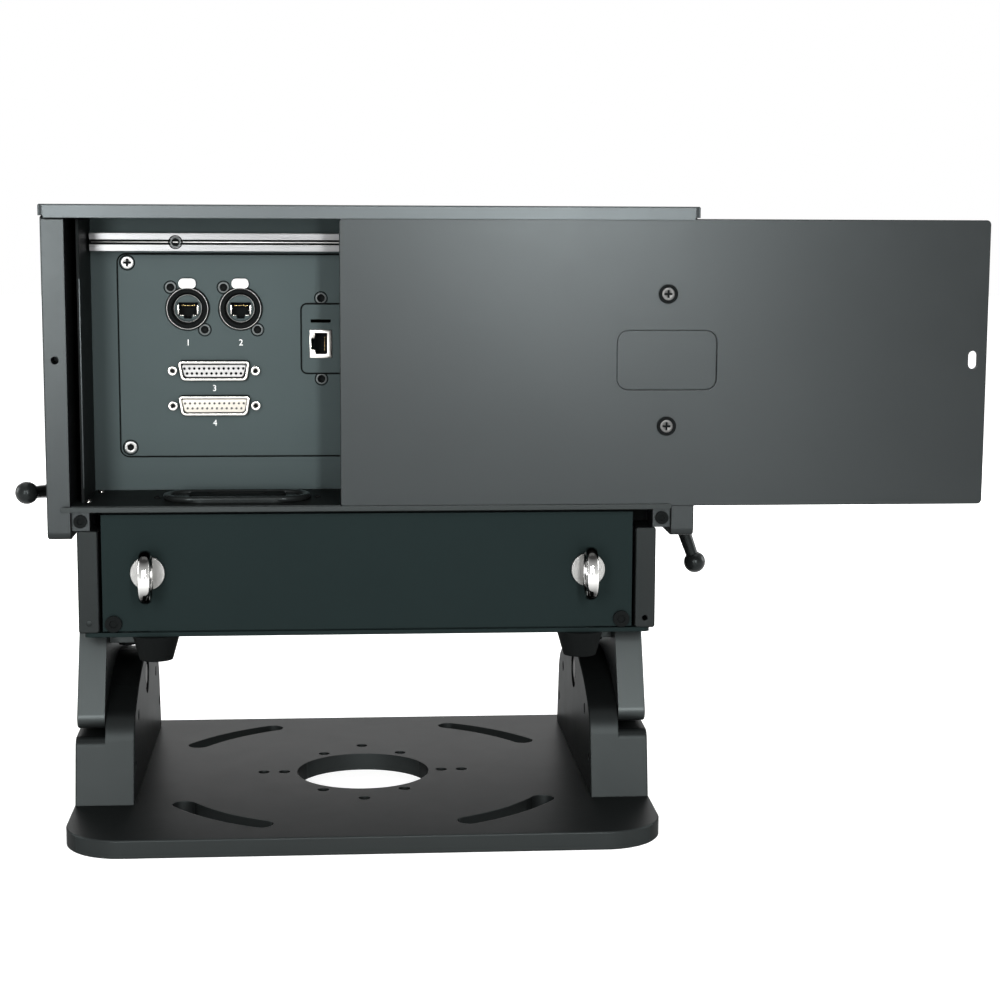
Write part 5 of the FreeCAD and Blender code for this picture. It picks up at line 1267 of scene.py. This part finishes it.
class PROJECTOR_OT_numerals(bpy.types.Operator):
    """Puts plain white numbers under the connectors"""

    bl_idname = "projector.numerals"
    bl_label = "Connector numbers"

    def execute(self, context):
        size = context.scene.projector_details.numeral
        places = [(x, SOCKET_Z - SOCKET_NUMBER_DOWN) for x, _, _ in TAB_MIDDLES]
        places += [(x, z - PORT_NUMBER_DOWN) for x, _, z in (OUT_PORT, IN_PORT)]
        pieces = []
        for number, (x, z) in enumerate(places, 1):
            bpy.ops.object.select_all(action="DESELECT")
            bpy.ops.object.text_add(location=(x, CONN_FACE - NUMBER_PROUD, z), rotation=LEVEL_TURN)
            item = bpy.context.active_object
            item.data.body = str(number)
            item.data.size = size
            item.data.align_x = "CENTER"
            item.data.align_y = "CENTER"
            item.data.extrude = NUMBER_DEPTH
            bpy.ops.object.convert(target="MESH")
            bpy.ops.object.transform_apply(location=True, rotation=True, scale=True)
            dress(item, f"connector_number_{number}", "pale_plastic")
            pieces.append(item)
        ride_all(pieces, "head")
        return {"FINISHED"}


GUARD_HOOPS = (7.0 * MM, 13.0 * MM, 19.0 * MM, 25.0 * MM)
SPOKE_LENGTH, SPOKE_MIDDLE = 23.0 * MM, 18.5 * MM
SPOKE_TURNS = (45.0, 135.0, 225.0, 315.0)
WIRE_SIDES, HOOP_STEPS = 10, 48
SAME_PLACE = 0.01 * MM


class PROJECTOR_OT_fan_guard(bpy.types.Operator):
    """Models the wire guard in front of the fan"""

    bl_idname = "projector.fan_guard"
    bl_label = "Fan guard"

    def execute(self, context):
        wire = context.scene.projector_details.guard_wire
        x, _, z = middle_of("fan_frame")
        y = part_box("lower_front_panel")[1][1] + wire
        parts = []
        for radius in GUARD_HOOPS:
            hoop = add_shape("circle", vertices=WIRE_SIDES, radius=wire, location=(x + radius, y, z))
            edit(hoop)
            pick_all()
            bpy.ops.mesh.spin(steps=HOOP_STEPS, angle=2 * math.pi, center=(x, y, z), axis=(0.0, 1.0, 0.0))
            pick_all()
            bpy.ops.mesh.remove_doubles(threshold=SAME_PLACE)
            bpy.ops.mesh.normals_make_consistent(inside=False)
            leave()
            parts.append(hoop)
        for turn in map(math.radians, SPOKE_TURNS):
            place = (x + SPOKE_MIDDLE * math.cos(turn), y + wire, z + SPOKE_MIDDLE * math.sin(turn))
            parts.append(add_shape("cylinder", vertices=WIRE_SIDES, radius=wire, depth=SPOKE_LENGTH,
                                   location=place, rotation=(0.0, math.pi / 2 - turn, 0.0)))
        guard = finish_piece(join(parts), "fan_guard", "chrome", edge=0.1 * MM, angle=80.0)
        ride_all([guard], "head")
        return {"FINISHED"}


SENSOR_WIDTH = 36.0
FLOOR_SIZE = 14.0
# The floor's glow runs between two levels over two distances from the middle
FLOOR_GLOW = (0.72, 1.0)
FLOOR_GLOW_REACH = (0.35, 1.2)
# Each soft box: name, place, what it points at, width, height and the studio's setting for its power
SOFT_BOXES = (
    ("Key", (-0.47, -1.55, 0.5), (-0.1, 0.0, 0.25), 0.3, 0.75, "key_power"),
    ("Strip", (0.27, -1.6, 0.6), (0.1, 0.0, 0.3), 0.1, 0.7, "strip_power"),
    ("Low", (0.52, -1.6, 0.08), (0.22, 0.0, 0.2), 0.12, 0.3, "low_power"),
    ("Top", (0.0, 0.1, 1.5), (0.0, 0.05, 0.2), 1.4, 1.0, "top_power"),
    ("Back", (0.0, 1.5, 0.75), (0.0, 0.05, 0.2), 2.2, 0.9, "back_power"),
    ("Left", (-1.5, 0.25, 0.55), (0.0, 0.05, 0.2), 0.7, 0.7, "side_power"),
    ("Right", (1.5, 0.25, 0.55), (0.0, 0.05, 0.2), 0.7, 0.7, "side_power"),
)


def soft_box(name, place, target, width, height, power):
    lamp = bpy.data.lights.new(name, "AREA")
    lamp.shape = "RECTANGLE"
    lamp.size = width
    lamp.size_y = height
    lamp.energy = power
    item = bpy.data.objects.new(name, lamp)
    item.location = place
    item.rotation_euler = (Vector(target) - Vector(place)).to_track_quat("-Z", "Y").to_euler()
    bpy.context.scene.collection.objects.link(item)


def seen_directly(tree):
    """1 where a ray comes from the camera, or by mirror or glass, and 0 for plain light."""
    path = tree.nodes.new("ShaderNodeLightPath")
    both = add_math(tree, "ADD", path.outputs["Is Camera Ray"], path.outputs["Is Glossy Ray"])
    return add_math(tree, "ADD", both, path.outputs["Is Transmission Ray"], clamp=True)


class PROJECTOR_OT_stage(bpy.types.Operator):
    """Sets up the camera, the pale floor and the soft studio light"""

    bl_idname = "projector.stage"
    bl_label = "Stage"

    def execute(self, context):
        studio = context.scene.projector_studio
        context.scene.view_settings.view_transform = "Standard"
        self.camera(context, studio)
        self.world(context, studio)
        self.floor(studio)
        for name, place, target, width, height, power in SOFT_BOXES:
            soft_box(name, place, target, width, height, getattr(studio, power))
        return {"FINISHED"}

    def camera(self, context, studio):
        data = bpy.data.cameras.new("Camera")
        data.lens = studio.lens
        data.sensor_width = SENSOR_WIDTH
        pitch, yaw, roll = studio.camera_turn
        level = math.cos(pitch)
        ahead = Vector((math.sin(yaw) * level, math.cos(yaw) * level, -math.sin(pitch)))
        right = Vector((math.cos(yaw), -math.sin(yaw), 0.0))
        above = right.cross(ahead)
        side = math.cos(roll) * right + math.sin(roll) * above
        upper = math.cos(roll) * above - math.sin(roll) * right
        item = bpy.data.objects.new("Camera", data)
        turn = Matrix((side, upper, -ahead)).transposed()
        item.matrix_world = Matrix.Translation(studio.camera_place) @ turn.to_4x4()
        context.scene.collection.objects.link(item)
        context.scene.camera = item

    def world(self, context, studio):
        """Plain white where it is seen, and an even light of the studio's level elsewhere."""
        world = bpy.data.worlds.new("Studio")
        context.scene.world = world
        world.use_nodes = True
        tree = world.node_tree
        tree.nodes.clear()
        light = add_node(tree, "ShaderNodeBackground", Color=WHITE, Strength=studio.fill)
        white = add_node(tree, "ShaderNodeBackground", Color=WHITE, Strength=1.0)
        mix = tree.nodes.new("ShaderNodeMixShader")
        output = tree.nodes.new("ShaderNodeOutputWorld")
        tree.links.new(seen_directly(tree), mix.inputs["Fac"])
        tree.links.new(light.outputs["Background"], mix.inputs[1])
        tree.links.new(white.outputs["Background"], mix.inputs[2])
        tree.links.new(mix.outputs["Shader"], output.inputs["Surface"])

    def floor(self, studio):
        """A pale floor that keeps a soft shadow near the object and runs out to plain white."""
        item = add_shape("plane", size=FLOOR_SIZE, location=(0.0, 0.0, 0.0))
        item.name = "Floor"
        material = bpy.data.materials.new("Pale floor")
        material.use_nodes = True
        tree = material.node_tree
        tree.nodes.clear()
        plain = add_node(tree, "ShaderNodeBsdfDiffuse", Color=(*studio.floor, 1.0))
        glow = add_node(tree, "ShaderNodeEmission", Color=WHITE)
        both = tree.nodes.new("ShaderNodeAddShader")
        output = tree.nodes.new("ShaderNodeOutputMaterial")
        place = tree.nodes.new("ShaderNodeTexCoord")
        far = add_node(tree, "ShaderNodeVectorMath", {"operation": "LENGTH"})
        tree.links.new(place.outputs["Object"], far.inputs[0])
        level = map_range(tree, far.outputs["Value"], *FLOOR_GLOW, *FLOOR_GLOW_REACH)
        strength = add_math(tree, "MULTIPLY", seen_directly(tree), level)
        tree.links.new(strength, glow.inputs["Strength"])
        tree.links.new(plain.outputs["BSDF"], both.inputs[0])
        tree.links.new(glow.outputs["Emission"], both.inputs[1])
        tree.links.new(both.outputs["Shader"], output.inputs["Surface"])
        item.data.materials.append(material)


class PROJECTOR_PT_panel(bpy.types.Panel):
    """Finishes, details and studio of the projector"""

    bl_idname = "PROJECTOR_PT_panel"
    bl_label = "Laser Show Projector"
    bl_space_type = "VIEW_3D"
    bl_region_type = "UI"
    bl_category = "Projector"

    def draw(self, context):
        scene = context.scene
        for settings in (scene.projector_finishes, scene.projector_details, scene.projector_studio):
            column = self.layout.column()
            for label in settings.__annotations__:
                column.prop(settings, label)
        for step in STEPS:
            self.layout.operator(step.bl_idname)


STEPS = (
    PROJECTOR_OT_finishes, PROJECTOR_OT_bay_screws, PROJECTOR_OT_posts, PROJECTOR_OT_sockets,
    PROJECTOR_OT_ports, PROJECTOR_OT_side_jack, PROJECTOR_OT_gaskets, PROJECTOR_OT_door_screws,
    PROJECTOR_OT_shelf_screws, PROJECTOR_OT_grommet_rim, PROJECTOR_OT_strips, PROJECTOR_OT_rings,
    PROJECTOR_OT_push_tabs, PROJECTOR_OT_numerals, PROJECTOR_OT_fan_guard, PROJECTOR_OT_stage,
)
CLASSES = (ProjectorFinishes, ProjectorDetails, ProjectorStudio, *STEPS, PROJECTOR_PT_panel)


def register():
    for item in CLASSES:
        bpy.utils.register_class(item)
    bpy.types.Scene.projector_finishes = bpy.props.PointerProperty(type=ProjectorFinishes)
    bpy.types.Scene.projector_details = bpy.props.PointerProperty(type=ProjectorDetails)
    bpy.types.Scene.projector_studio = bpy.props.PointerProperty(type=ProjectorStudio)


def unregister():
    del bpy.types.Scene.projector_studio
    del bpy.types.Scene.projector_details
    del bpy.types.Scene.projector_finishes
    for item in reversed(CLASSES):
        bpy.utils.unregister_class(item)


def main():
    register()
    bpy.ops.projector.finishes()
    bpy.ops.projector.bay_screws()
    bpy.ops.projector.posts()
    bpy.ops.projector.sockets()
    bpy.ops.projector.ports()
    bpy.ops.projector.side_jack()
    bpy.ops.projector.gaskets()
    bpy.ops.projector.door_screws()
    bpy.ops.projector.shelf_screws()
    bpy.ops.projector.grommet_rim()
    bpy.ops.projector.strips()
    bpy.ops.projector.rings()
    bpy.ops.projector.push_tabs()
    bpy.ops.projector.numerals()
    bpy.ops.projector.fan_guard()
    bpy.ops.projector.stage()


if __name__ == "__main__":
    main()
